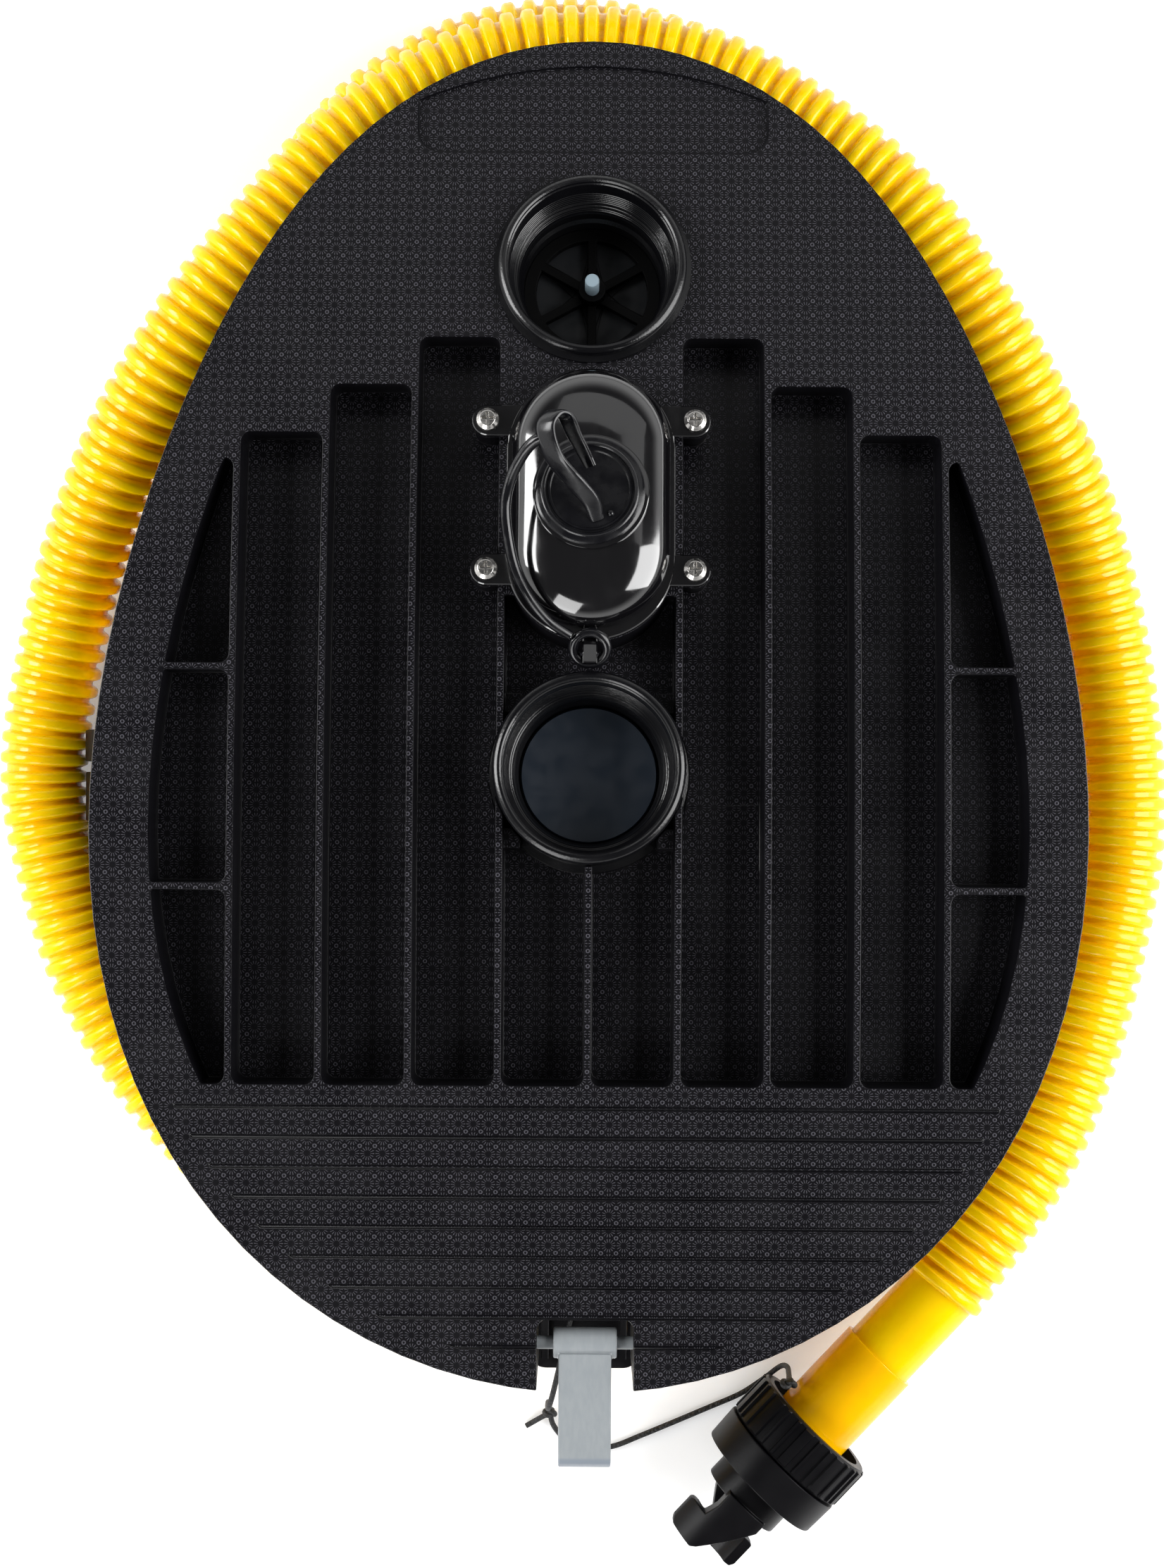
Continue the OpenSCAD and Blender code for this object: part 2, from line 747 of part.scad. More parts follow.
module hinge_pin() {
    color("silver") translate([-20.5, hinge_y, hinge_z]) rotate([0, 90, 0]) cylinder(r = hinge_pin_r, h = 41);
}

module bellows_base_ring() {
    color("#202023") difference() {
        egg_ring(base_inset + 1, clamp_in, base_top, base_top + clamp_h);
        at_ring_screws() cylinder(r = 1.3, h = 200, center = true, $fn = 24);
    }
}

module base_ring_screws() {
    color("silver") at_ring_screws()
        translate([0, 0, base_top + clamp_h]) rotate([180, 0, 0]) screw_up(1.3, clamp_h, 2.2, 1.4);
}

module inner_base_ring() {
    color("#202023") translate([0, inner_y, 0]) tube(inner_wall_r, 33, base_top, base_top + clamp_h);
}

// Points of one ring of the large bellows
bellows_n = 48;
bellows_t = 1.6;
folds = 5;
bellows_out = 24;
bellows_in = 31;
function fold_inset(k) = k % 2 == 0 ? bellows_out : bellows_in;
function bellows_ring(k, extra) =
    let (z0 = base_top + clamp_h, z = z0 + (lid_ring_z - z0) * k / (2 * folds))
    [for (i = [0 : bellows_n - 1])
        let (p = egg_point(360 * i / bellows_n, fold_inset(k) + extra)) [p.x, p.y, z]];

// Triangles between two rings of n points that start at a and b
function band(a, b, n) = [for (i = [0 : n - 1]) let (j = (i + 1) % n)
    each [[a + i, a + j, b + j], [a + i, b + j, b + i]]];

module outer_bellows() {
    rings = 2 * folds;
    n = bellows_n;
    outside = [for (k = [0 : rings]) each bellows_ring(k, 0)];
    inside = [for (k = [0 : rings]) each bellows_ring(k, bellows_t)];
    half = (rings + 1) * n;
    walls = concat(
        [for (k = [0 : rings - 1]) each band((k + 1) * n, k * n, n)],
        [for (k = [0 : rings - 1]) each band(half + k * n, half + (k + 1) * n, n)],
        band(0, half, n),
        band(half + rings * n, rings * n, n));
    color("#232326") polyhedron(concat(outside, inside), walls);
}

module inner_bellows() {
    steps = 10;
    z0 = base_top + clamp_h;
    z1 = lid_ring_z + clamp_h;
    wave = [for (k = [0 : steps]) [k % 2 == 0 ? inner_r : inner_r - 5, z0 + (z1 - z0) * k / steps]];
    back = [for (k = [steps : -1 : 0]) [wave[k].x - bellows_t, wave[k].y]];
    color("#232326") translate([0, inner_y, 0]) rotate_extrude() polygon(concat(wave, back));
}

// --- Swept tubes ------------------------------------------------------------------------
up = [0, 0, 1];
function spline(p0, p1, p2, p3, t) = 0.5 * (
    2 * p1 + (p2 - p0) * t + (2 * p0 - 5 * p1 + 4 * p2 - p3) * t * t
    + (3 * p1 - p0 - 3 * p2 + p3) * t * t * t);
// Smooth curve through the route's points, step points to each stretch
function smooth(route, step) = let (n = len(route)) concat(
    [for (i = [0 : n - 2], k = [0 : step - 1])
        spline(route[max(i - 1, 0)], route[i], route[i + 1], route[min(i + 2, n - 1)], k / step)],
    [route[n - 1]]);
function lengths(c, i = 0, sum = 0) =
    i == len(c) - 1 ? [sum] : concat([sum], lengths(c, i + 1, sum + norm(c[i + 1] - c[i])));
function table(c, l, axis) = [for (i = [0 : len(c) - 1]) [l[i], c[i][axis]]];
function place(tables, s) = [for (axis = [0 : 2]) lookup(s, tables[axis])];
// Ring of n points round the curve at s; square to the curve
function ring_at(tables, s, end, r, n) =
    let (
        h = 0.5,
        t = unit(place(tables, min(s + h, end)) - place(tables, max(s - h, 0))),
        side = unit(cross(t, up)),
        rise = cross(side, t),
        c = place(tables, s))
    [for (i = [0 : n - 1]) let (a = 360 * (i + 0.5) / n) c + r * (cos(a) * side + sin(a) * rise)];
function cap(first, n) = [for (i = [1 : n - 2]) [first, first + i, first + i + 1]];
function turned(faces) = [for (f = faces) [f[2], f[1], f[0]]];

// Plain round cord along a route, n sides, a ring every gap millimetres
module cord(route, d, n, gap) {
    c = smooth(route, 8);
    l = lengths(c);
    end = l[len(l) - 1];
    count = max(2, round(end / gap));
    tables = [for (axis = [0 : 2]) table(c, l, axis)];
    points = [for (k = [0 : count]) each ring_at(tables, end * k / count, end, d / 2, n)];
    faces = concat(
        turned(cap(0, n)),
        [for (k = [0 : count - 1]) each band(k * n, (k + 1) * n, n)],
        cap(count * n, n));
    polyhedron(points, turned(faces));
}

// Ribbed hose with a bore: two rings to a rib, plain ends one diameter long
module ribbed(route, d, valley, bore, ribs) {
    n = 8;
    c = smooth(route, 8);
    l = lengths(c);
    end = l[len(l) - 1];
    tables = [for (axis = [0 : 2]) table(c, l, axis)];
    pitch = (end - 2 * d) / ribs;
    stops = concat(
        [[0, valley], [d, valley]],
        [for (k = [0 : ribs - 1]) each [
            [d + pitch * (k + 0.35), d / 2], [d + pitch * (k + 0.95), valley]]],
        [[end, valley]]);
    bores = floor(ribs / 2);
    outside = [for (s = stops) each ring_at(tables, s[0], end, s[1], n)];
    inside = [for (k = [0 : bores]) each ring_at(tables, end * k / bores, end, bore, n)];
    last = len(stops) - 1;
    half = len(stops) * n;
    faces = concat(
        [for (k = [0 : last - 1]) each band(k * n, (k + 1) * n, n)],
        [for (k = [0 : bores - 1]) each band(half + (k + 1) * n, half + k * n, n)],
        band(half, 0, n),
        band(last * n, half + bores * n, n));
    echo(hose_length = end);
    polyhedron(concat(outside, inside), turned(faces));
}

// --- Hose and its fittings -----------------------------------------------------------
hose_z = 12.8;
hose_route = [
    [84.7, -175.1, 20], [93.2, -166.1, 20], [101.7, -157, 20], [117.3, -136, 18.6], [131, -115, 16],
    [142, -88, 13.5], [149.5, -59, hose_z], [155, -24, hose_z], [153, 10, 13], [147, 42, 15],
    [137, 72, 20.5], [122, 99, 29.5], [105, 125, 35.3], [86, 150, 38.1], [62, 170, 38.3],
    [32, 187, 38.3], [-2, 193, 38.3], [-34, 187.5, 38.3], [-66, 169, 38.3], [-91, 142, 38.2],
    [-111, 117, 36], [-128, 91, 30], [-142, 62, 22], [-151, 34, 15.5],
    [-158, -8, hose_z], [-152, -42, hose_z], [-140, -74, hose_z], [-119, -105, hose_z],
    [-92, -129.5, hose_z], [-60, -148, hose_z], [-30, -158, hose_z], [0, -161, hose_z],
    [30, -157.5, hose_z], [60, -146, hose_z], [88, -126, hose_z], [108, -98, hose_z],
    [119, -65, hose_z], [123.5, -22, hose_z], [121, 20, hose_z], [112, 62, hose_z],
    [98, 102, hose_z], [80, 144, hose_z], [56, 177.5, hose_z], [26, 197.5, hose_z],
    [-7, 204, hose_z], [-40, 197.5, hose_z], [-68, 179, hose_z], [-86, 152, hose_z],
    [-97, 120, hose_z], [-106.5, 90, hose_z], [-116.5, 62, 13.5], [-121.8, 45, 16],
    [-125, 31, 18.3], [-126, 18, 18.6], [-126, 5, 18.6]];

module hose() {
    color(yellow) ribbed(hose_route, hose_d, 10.6, 9, hose_ribs);
}

// Frame of the fitting at the hose's visible end; its +Z runs along the fitting
fit_at = hose_route[0];
fit_turn = -43.3;
cuff_r = 11.6;
ring_r = 19.6;             // over the flutes of the coupling ring
module at_fitting() {
    translate(fit_at) rotate([0, 0, fit_turn]) rotate([90, 0, 0]) children();
}

module hose_cuff() {
    color("#f0c000") at_fitting() tube(cuff_r, 8.6, 0, 30.5);
}

module adapter_seal() {
    color("#303030") at_fitting() tube(cuff_r, 8, 30.5, 32.5);
}

module coupling_ring() {
    flutes = 30;
    color("#18181b") at_fitting() {
        tube(ring_r - 0.6, ring_r - 3.4, 26.5, 39.7);
        tube(ring_r - 0.6, cuff_r + 0.3, 29, 31.5);
        for (i = [0 : flutes - 1]) rotate([0, 0, 360 * i / flutes])
            block(ring_r - 1, ring_r, -0.9, 0.9, 27.3, 39.1);
    }
}

module valve_adapter() {
    color(black) at_fitting() {
        difference() {
            union() {
                translate([0, 0, 32.5]) cylinder(r = ring_r - 3.7, h = 7.6);
                translate([0, 0, 40]) cylinder(r1 = ring_r - 0.1, r2 = ring_r - 0.5, h = 9.9);
                translate([0, 0, 49.8]) cylinder(r = 12, h = 7.8);
            }
            translate([0, 0, 31]) cylinder(r = 8, h = 40);
        }
        for (turn = [0, 180]) rotate([0, 0, turn]) bayonet_arm();
    }
}

// Tapering arm that goes on from the neck's wall, with a hook beside its end
module bayonet_arm() {
    side_view = [
        [-6.6, 56], [6.8, 56], [6.8, 59.5], [-3.5, 73.6], [-4.9, 74.8], [-11.4, 74.3], [-12.3, 72.8],
        [-12.3, 65.6], [-11.4, 65], [-7.6, 65.2], [-6.6, 61]];
    intersection() {
        tube(13.6, 9.8, 55, 76);
        translate([0, 20, 0]) rotate([90, 0, 0]) linear_extrude(17) polygon(side_view);
    }
}

module at_tail() {
    translate(hose_route[len(hose_route) - 1]) rotate([90, 0, 0]) children();
}

module hose_tail_cuff() {
    color("#f0c000") at_tail() tube(11.2, 8.6, 0, 20);
}

module pump_end_plug() {
    color("#161618") at_tail() difference() {
        union() {
            translate([0, 0, 2]) cylinder(r = 18.4, h = 9);
            translate([0, 0, 11]) cylinder(r = 16, h = 3);
            translate([0, 0, 14]) cylinder(r = 18.2, h = 14);
        }
        translate([0, 0, 1]) cylinder(r = 11.2, h = 19);
        translate([0, 0, 19]) cylinder(r = 9, h = 40);
    }
}

// --- Lanyard ------------------------------------------------------------------------------
lanyard_d = 1.6;
lanyard_route = [
    [-3, -157.6, 31.4], [-4.5, -165, 31], [-7, -176, 31], [-9, -184.5, 31], [-10.1, -188.8, 27.5],
    [-10.4, -190.6, 19], [-10.4, -192, 9.5], [-10, -196, 2.8], [-9, -201, 1.2], [-5, -205.5, 1],
    [1, -207.6, 1], [8.5, -207.3, 1], [17, -204, 1], [27, -199.8, 1], [37, -195.5, 1],
    [46, -191.5, 1.2], [52.5, -187, 2.2], [57.5, -182.2, 5.5], [59, -180.6, 12],
    [58.8, -180.6, 20], [58.2, -180.9, 27.5]];

module lanyard() {
    color("#101010") cord(lanyard_route, lanyard_d, 8, 4.5);
}

module lanyard_knots() {
    color("#101010") {
        translate([-10, -197, 2.2]) sphere(r = 2, $fn = 24);
        translate([57.9, -181, 29]) sphere(r = 2.4, $fn = 24);
    }
}

// --- Tether of the plug ----------------------------------------------------------------
tether_d = 2.1;
tether_route = [
    [-13, 76.3, 107], [-16.5, 75, 105], [-20, 71.7, 102], [-22, 63, 98.5], [-22, 53, 96.5],
    [-20, 46, 96], [-17, 39.5, 95.5], [-12.5, 33, 94], [-8, 29, 91.8], [-4, 26.9, 89.6]];

module plug_tether() {
    color("#121214") cord(tether_route, tether_d, 8, 5);
}

module tether_ring() {
    color("#121214") at_cover() translate([0, -38.2, 3.3]) rotate([35, 0, 0])
        rotate_extrude() translate([4.4, 0]) circle(r = 1.25, $fn = 24);
}

// --- Return spring -----------------------------------------------------------------------
// Conical coil as one unbroken tube, eight rings of six sides to a turn
module return_spring() {
    wire_r = 1.1;
    r0 = 25;
    r1 = 20.5;
    z0 = base_top + wire_r;
    z1 = 51 - wire_r;
    n = 6;
    steps = 8 * spring_turns;
    rings = [for (k = [0 : steps])
        let (
            a = 45 * k,
            r = r0 + (r1 - r0) * k / steps,
            c = [r * cos(a), r * sin(a), z0 + (z1 - z0) * k / steps],
            out = [cos(a), sin(a), 0])
        each [for (i = [0 : n - 1])
            let (b = 360 * i / n) c + wire_r * (cos(b) * out + sin(b) * up)]];
    faces = concat(
        cap(0, n),
        [for (k = [0 : steps - 1]) each band((k + 1) * n, k * n, n)],
        turned(cap(steps * n, n)));
    echo(spring_gap = (z1 - z0) / spring_turns - 2 * wire_r);
    color("silver") translate([0, spring_y, 0]) polyhedron(rings, turned(faces));
}

bottom_board();
base_feet();
stop_caps();
latch_catch();
catch_screws();
hinge_pin();
bellows_base_ring();
base_ring_screws();
outer_bellows();
inner_base_ring();
inner_bellows();
return_spring();
hose();
hose_cuff();
adapter_seal();
coupling_ring();
valve_adapter();
hose_tail_cuff();
pump_end_plug();
lanyard();
lanyard_knots();
top_board();
bellows_lid_ring();
lid_ring_screws();
inner_lid_ring();
spring_cup();
inlet_port();
inlet_valve_seat();
inlet_valve();
outlet_port();
outlet_valve_seat();
outlet_valve();
valve_cover();
cover_gasket();
cover_screws();
stage_valve();
plug();
plug_tether();
tether_ring();
latch();
latch_pin();
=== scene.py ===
"""Looks of a foot-operated bellows pump, stored closed with its ribbed hose laid round it.

Lengths are millimetres in the row frame: the floor is at z = 0 and +Y points towards the hinge. Only the
camera, the lamps, the floor and the patterns of the materials are in metres.
"""
import json
import math

import bmesh
import bpy
from mathutils import Matrix, Vector


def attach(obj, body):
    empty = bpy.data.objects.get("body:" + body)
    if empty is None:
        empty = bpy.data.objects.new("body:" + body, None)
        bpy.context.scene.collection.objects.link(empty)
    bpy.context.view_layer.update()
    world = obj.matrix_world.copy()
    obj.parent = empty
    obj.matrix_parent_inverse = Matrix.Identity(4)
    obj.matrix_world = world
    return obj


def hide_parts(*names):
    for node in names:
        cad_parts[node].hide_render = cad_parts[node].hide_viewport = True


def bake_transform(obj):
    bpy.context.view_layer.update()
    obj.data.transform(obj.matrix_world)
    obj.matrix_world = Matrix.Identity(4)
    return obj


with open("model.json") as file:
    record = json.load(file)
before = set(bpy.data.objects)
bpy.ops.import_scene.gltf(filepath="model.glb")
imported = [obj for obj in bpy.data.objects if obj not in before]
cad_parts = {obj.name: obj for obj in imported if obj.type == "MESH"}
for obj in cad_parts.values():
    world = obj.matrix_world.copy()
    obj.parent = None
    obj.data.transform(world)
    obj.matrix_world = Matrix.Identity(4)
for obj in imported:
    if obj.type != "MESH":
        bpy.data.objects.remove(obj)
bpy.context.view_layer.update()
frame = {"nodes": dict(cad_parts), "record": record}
nodes = frame["nodes"]
MM = 0.001
UP = Vector((0, 0, 1))

# --- Driving sizes, as in the part -------------------------------------------------------
BOARD_Y, BOARD_L, BOARD_W = 10.25, 358.5, 254.4  # middle, length and width of the upper board
TOP_Z = 87.0             # flat part of its top
BEND_Y = (-51.5, 88.5)   # between these the top bends down towards the hinge
BEND_R = 848.0
BEND_SLOPE = (BEND_Y[1] - BEND_Y[0]) / BEND_R    # of the straight stretch behind the bend
INLET_Y = 125.5
OUTLET_Y = -7.5
OUTLET_TILT = 6.0
PORT_BORE_R = 19.4
COVER_Y = 61.0
COVER_TILT = 7.6
SCREW_X = 27.1           # the cover's screws, to either side
SCREW_Y = (43.5, 83.3)
PLUG_DY = -0.1           # the plug's hole, from the cover's middle
PLUG_R = 9.5
BOSS_TOP_Z = 16.2        # rim of the plug's hole, over the board
RING_TOP_Z = 23.0        # upper face of the lower clamping rings
OUTER_TOP_Z = 48.0       # upper ends of the two bellows
INNER_TOP_Z = 51.0
INNER_Y, INNER_R = 5.0, 40.0
SPRING_Y = -81.5
SPRING_Z = (20.0, 51.0)
HOSE_R = 12.5
HOSE_CORE_R = 10.5       # between the ribs
HOSE_BORE_R = 9.0
RIB_PITCH = 5.4
FLOOR_HOSE_Z = 12.8      # the hose's middle where it lies on the floor
FITTING_TURN = -43.3     # direction of the hose's fitting, in degrees
LANYARD_R = 0.8


def bend_run(y):
    """How far y lies behind the start of the bend, up to the bend's end."""
    return min(max(y, BEND_Y[0]), BEND_Y[1]) - BEND_Y[0]


def top_z(y):
    """Height of the upper board's top at y."""
    return TOP_Z - bend_run(y) ** 2 / (2 * BEND_R) - BEND_SLOPE * max(0.0, y - BEND_Y[1])


def board_normal(y):
    """Normal of the upper board's top at y, also of the floors that lie parallel to it."""
    return Vector((0, bend_run(y) / BEND_R, 1)).normalized()


def tilted(y, degrees):
    """Frame that sits on the board's top at y and leans with it."""
    return Matrix.Translation((0, y, top_z(y))) @ Matrix.Rotation(math.radians(-degrees), 4, "X")


AT_INLET = tilted(INLET_Y, math.degrees(math.atan(BEND_SLOPE)))
AT_OUTLET = tilted(OUTLET_Y, OUTLET_TILT)
AT_COVER = tilted(COVER_Y, COVER_TILT)


# --- Camera ------------------------------------------------------------------------------
def make_camera():
    """Straight above the pump, as the photograph was taken."""
    camera = bpy.data.objects.new("camera", bpy.data.cameras.new("camera"))
    bpy.context.scene.collection.objects.link(camera)
    picture_h, focal_px = 2226, 3245
    sensor = 36.0
    camera.data.sensor_width = sensor
    camera.data.lens = sensor * focal_px / picture_h
    camera.location = (-0.0018, -0.0115, 0.677)
    camera.rotation_euler = (0, 0, math.radians(0.4))
    camera.data.clip_start = 0.01
    bpy.context.scene.camera = camera


# --- Mesh helpers ------------------------------------------------------------------------
def add_piece(name, points, faces, surface, sharp=35):
    """New mesh object from points in mm; edges sharper than sharp degrees stay crisp."""
    mesh = bpy.data.meshes.new(name)
    mesh.from_pydata([Vector(p) * MM for p in points], [], faces)
    mesh.validate()
    mesh.update()
    mesh.shade_smooth()
    mesh.set_sharp_from_angle(angle=math.radians(sharp))
    piece = bpy.data.objects.new(name, mesh)
    piece.data.materials.append(surface)
    bpy.context.scene.collection.objects.link(piece)
    return piece


def round_angles(n, start=0.0):
    """n angles evenly round a circle; start is the first one, in steps."""
    return [2 * math.pi * (i + start) / n for i in range(n)]


def bands(first, second, n):
    """Quads between two closed rows of n points that start at the numbers first and second."""
    return [(first + i, first + (i + 1) % n, second + (i + 1) % n, second + i) for i in range(n)]


def loft(rings, ends=True):
    """Points and faces through rings of equally many points, with a face over each end."""
    n = len(rings[0])
    faces = []
    for k in range(len(rings) - 1):
        faces += bands(k * n, (k + 1) * n, n)
    if ends:
        faces.append(tuple(reversed(range(n))))
        faces.append(tuple(range((len(rings) - 1) * n, len(rings) * n)))
    return [p for ring in rings for p in ring], faces


def ring_solid(rings):
    """Points and faces through the rings, the last one joined to the first."""
    points, faces = loft(rings, ends=False)
    n = len(rings[0])
    return points, faces + bands((len(rings) - 1) * n, 0, n)


def turned(profile, n, place=Matrix()):
    """Points and faces of a profile of (r, z) turned round Z. A profile that starts and ends at r = 0 is
    closed there; any other profile is closed from its last point to its first."""
    solid = profile[0][0] == 0 and profile[-1][0] == 0
    body = profile[1:-1] if solid else profile
    rings = [[place @ Vector((r * math.cos(a), r * math.sin(a), z)) for a in round_angles(n)]
             for r, z in body]
    return loft(rings) if solid else ring_solid(rings)


def placed(part, place):
    """The same points and faces, moved by the matrix place."""
    points, faces = part
    return [place @ Vector(p) for p in points], faces


def joined(*parts):
    """One list of points and faces from several."""
    points, faces = [], []
    for more_points, more_faces in parts:
        start = len(points)
        points += list(more_points)
        faces += [tuple(start + i for i in face) for face in more_faces]
    return points, faces


EDGE_ANGLE = math.radians(30)  # edges sharper than this are rounded
SAME_FACE = math.radians(0.4)  # faces that differ less are joined before that
ALONG_TOP = 0.9997             # cosine from which on a face lies along the board's bent top


def shading_normals(mesh, rounded, on_board):
    """A normal for every face corner: flat faces keep theirs up to the rounded edges, round walls blend,
    and with on_board the faces along the bent top follow the bend itself."""
    limit = math.cos(EDGE_ANGLE)
    own = [face.normal.copy() for face in mesh.faces]
    if on_board:
        for face in mesh.faces:
            bend = board_normal(face.calc_center_median().y / MM)
            if face not in rounded and own[face.index].dot(bend) > ALONG_TOP:
                own[face.index] = None
    normals = []
    for face in mesh.faces:
        for corner in face.loops:
            vertex = corner.vert
            bend = board_normal(vertex.co.y / MM) if on_board else None
            mine = own[face.index] or bend
            plain = [own[f.index] or bend for f in vertex.link_faces if f not in rounded]
            if face in rounded:
                near = [n for n in plain if n.dot(mine) > limit]
                if near:
                    normals.append(max(near, key=lambda n: n.dot(mine)))
                    continue
                plain = [own[f.index] for f in vertex.link_faces if f in rounded]
            total = sum((n for n in plain if n.dot(mine) > limit), Vector())
            normals.append(total.normalized() if total.length > 1e-6 else mine)
    return normals


def dressed(node, width, surface, merge=0.001, on_board=False):
    """Copy of a CAD node, its points closer than merge joined and its sharp edges rounded by width, which
    stands for the node."""
    mesh = bmesh.new()
    mesh.from_mesh(nodes[node].data)
    bmesh.ops.remove_doubles(mesh, verts=mesh.verts, dist=merge * MM)
    bmesh.ops.dissolve_limit(mesh, angle_limit=SAME_FACE, verts=mesh.verts, edges=mesh.edges)
    bmesh.ops.triangulate(mesh, faces=[f for f in mesh.faces if len(f.verts) > 4])
    edges = [e for e in mesh.edges if len(e.link_faces) == 2 and e.calc_face_angle(0) > EDGE_ANGLE]
    made = bmesh.ops.bevel(mesh, geom=edges, offset=width * MM, offset_type="OFFSET", segments=2,
                           profile=0.5, affect="EDGES", clamp_overlap=False)
    mesh.normal_update()
    mesh.faces.index_update()
    normals = shading_normals(mesh, set(made["faces"]), on_board)
    data = bpy.data.meshes.new(node + "_dressed")
    mesh.to_mesh(data)
    mesh.free()
    data.shade_smooth()
    data.normals_split_custom_set(normals)
    piece = bpy.data.objects.new(node + "_dressed", data)
    data.materials.clear()
    data.materials.append(surface)
    bpy.context.scene.collection.objects.link(piece)
    stand_for(piece, node)
    return piece


BODY_OF = {n: body for body, members in frame["record"]["behaviour"]["bodies"].items() for n in members}


def stand_for(piece, node, rides=True):
    """The node is hidden and the piece shown in its place; with rides, the piece is put on the node's body.
    """
    if rides:
        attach(piece, BODY_OF[node])
    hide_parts(node)


# --- Materials ---------------------------------------------------------------------------
def new_material(name, colour, roughness, **sockets):
    """Material with one Principled shader. colour is linear RGB; further sockets go by their names."""
    material = bpy.data.materials.new(name)
    material.use_nodes = True
    shader = material.node_tree.nodes["Principled BSDF"]
    shader.inputs["Base Color"].default_value = (*colour, 1)
    shader.inputs["Roughness"].default_value = roughness
    for key, value in sockets.items():
        shader.inputs[key.replace("_", " ")].default_value = value
    return material


class Graph:
    """Short names for building a material's nodes."""

    def __init__(self, material):
        self.tree = material.node_tree
        self.shader = self.tree.nodes["Principled BSDF"]
        self.place = self.add("ShaderNodeTexCoord").outputs["Object"]
        self.normal = self.place.node.outputs["Normal"]

    def add(self, kind, **values):
        node = self.tree.nodes.new(kind)
        for key, value in values.items():
            setattr(node, key, value)
        return node

    def put(self, value, socket):
        if isinstance(value, bpy.types.NodeSocket):
            self.tree.links.new(value, socket)
        else:
            socket.default_value = value

    def math(self, operation, a, b=0.0, c=0.0):
        node = self.add("ShaderNodeMath", operation=operation)
        for value, socket in zip((a, b, c), node.inputs):
            self.put(value, socket)
        return node.outputs[0]

    def ramp(self, value, low, high, to_low=0.0, to_high=1.0):
        node = self.add("ShaderNodeMapRange", interpolation_type="SMOOTHSTEP")
        for v, key in ((value, "Value"), (low, "From Min"), (high, "From Max"),
                       (to_low, "To Min"), (to_high, "To Max")):
            self.put(v, node.inputs[key])
        return node.outputs[0]

    def noise(self, scale, detail=3.0, stretch=(1, 1, 1)):
        """Noise whose size goes with 1 / scale; scale is per metre."""
        mapping = self.add("ShaderNodeMapping")
        mapping.inputs["Scale"].default_value = stretch
        self.put(self.place, mapping.inputs["Vector"])
        node = self.add("ShaderNodeTexNoise")
        node.inputs["Scale"].default_value = scale
        node.inputs["Detail"].default_value = detail
        self.put(mapping.outputs[0], node.inputs["Vector"])
        return node.outputs["Fac"]

    def mix(self, factor, first, second):
        node = self.add("ShaderNodeMix", data_type="RGBA")
        self.put(factor, node.inputs["Factor"])
        for value, socket in ((first, node.inputs["A"]), (second, node.inputs["B"])):
            self.put(value if isinstance(value, bpy.types.NodeSocket) else (*value, 1), socket)
        return node.outputs["Result"]

    def colour(self, value):
        self.put(value, self.shader.inputs["Base Color"])

    def roughness(self, value):
        self.put(value, self.shader.inputs["Roughness"])

    def bump(self, height, depth_mm, below=None):
        node = self.add("ShaderNodeBump")
        node.inputs["Distance"].default_value = depth_mm * MM
        self.put(height, node.inputs["Height"])
        if below is not None:
            self.put(below, node.inputs["Normal"])
        self.put(node.outputs[0], self.shader.inputs["Normal"])
        return node.outputs[0]


def sunbursts(graph):
    """Mask of the board's fine moulded pattern: rings of short rays, and small rings between them."""
    pitch, rays = 3.9 * MM, 14
    axes = graph.add("ShaderNodeSeparateXYZ")
    graph.put(graph.place, axes.inputs[0])

    def cell(shift):
        """Place in the pattern's cell, shifted by a share of the pitch, and distance from its middle."""
        sides = [graph.math("SUBTRACT", graph.math("FRACT", graph.math(
            "MULTIPLY_ADD", axes.outputs[i], 1 / pitch, 100 + shift)), 0.5) for i in (0, 1)]
        squares = graph.math("ADD", graph.math("MULTIPLY", sides[0], sides[0]),
                             graph.math("MULTIPLY", sides[1], sides[1]))
        return sides, graph.math("SQRT", squares)

    (u, v), r = cell(0)
    turn = graph.math("ARCTAN2", v, u)
    ray = graph.ramp(graph.math("COSINE", graph.math("MULTIPLY", turn, rays)), 0.4, 0.9)
    painted_shade_band = graph.math("MULTIPLY", graph.ramp(r, 0.2, 0.25), graph.ramp(r, 0.42, 0.47, 1.0, 0.0))
    _, far = cell(0.5)
    ring = graph.math("MULTIPLY", graph.ramp(far, 0.06, 0.09), graph.ramp(far, 0.13, 0.16, 1.0, 0.0))
    pattern = graph.math("MAXIMUM", graph.math("MULTIPLY", ray, painted_shade_band), ring)
    facing = graph.add("ShaderNodeSeparateXYZ")
    graph.put(graph.normal, facing.inputs[0])
    return graph.math("MULTIPLY", pattern, graph.ramp(facing.outputs[2], 0.95, 0.98))


def board_material():
    """Black moulded plastic whose fine moulded pattern is bumped and also painted lighter: a painted
    highlight for the glints its raised rays catch.
    """
    ground, painted_glint = (0.003, 0.0028, 0.004), (0.06, 0.058, 0.07)
    material = new_material("board_black", ground, 0.34, Specular_IOR_Level=0.24)
    graph = Graph(material)
    pattern = sunbursts(graph)
    grain = graph.noise(2600, 2)
    # painted highlight: the pattern's lighter colour stands in for glints on its raised rays
    graph.colour(graph.mix(pattern, ground, painted_glint))
    graph.roughness(graph.ramp(graph.noise(60), 0.3, 0.7, 0.3, 0.4))
    graph.bump(pattern, 0.16, below=graph.bump(grain, 0.02))
    return material


def satin_material(name, colour, roughness, grain_mm=0.02, **sockets):
    """Plain moulded plastic with a fine grain."""
    material = new_material(name, colour, roughness, **sockets)
    graph = Graph(material)
    graph.roughness(graph.ramp(graph.noise(90), 0.3, 0.7, roughness - 0.05, roughness + 0.07))
    graph.bump(graph.noise(1800, 2), grain_mm)
    return material


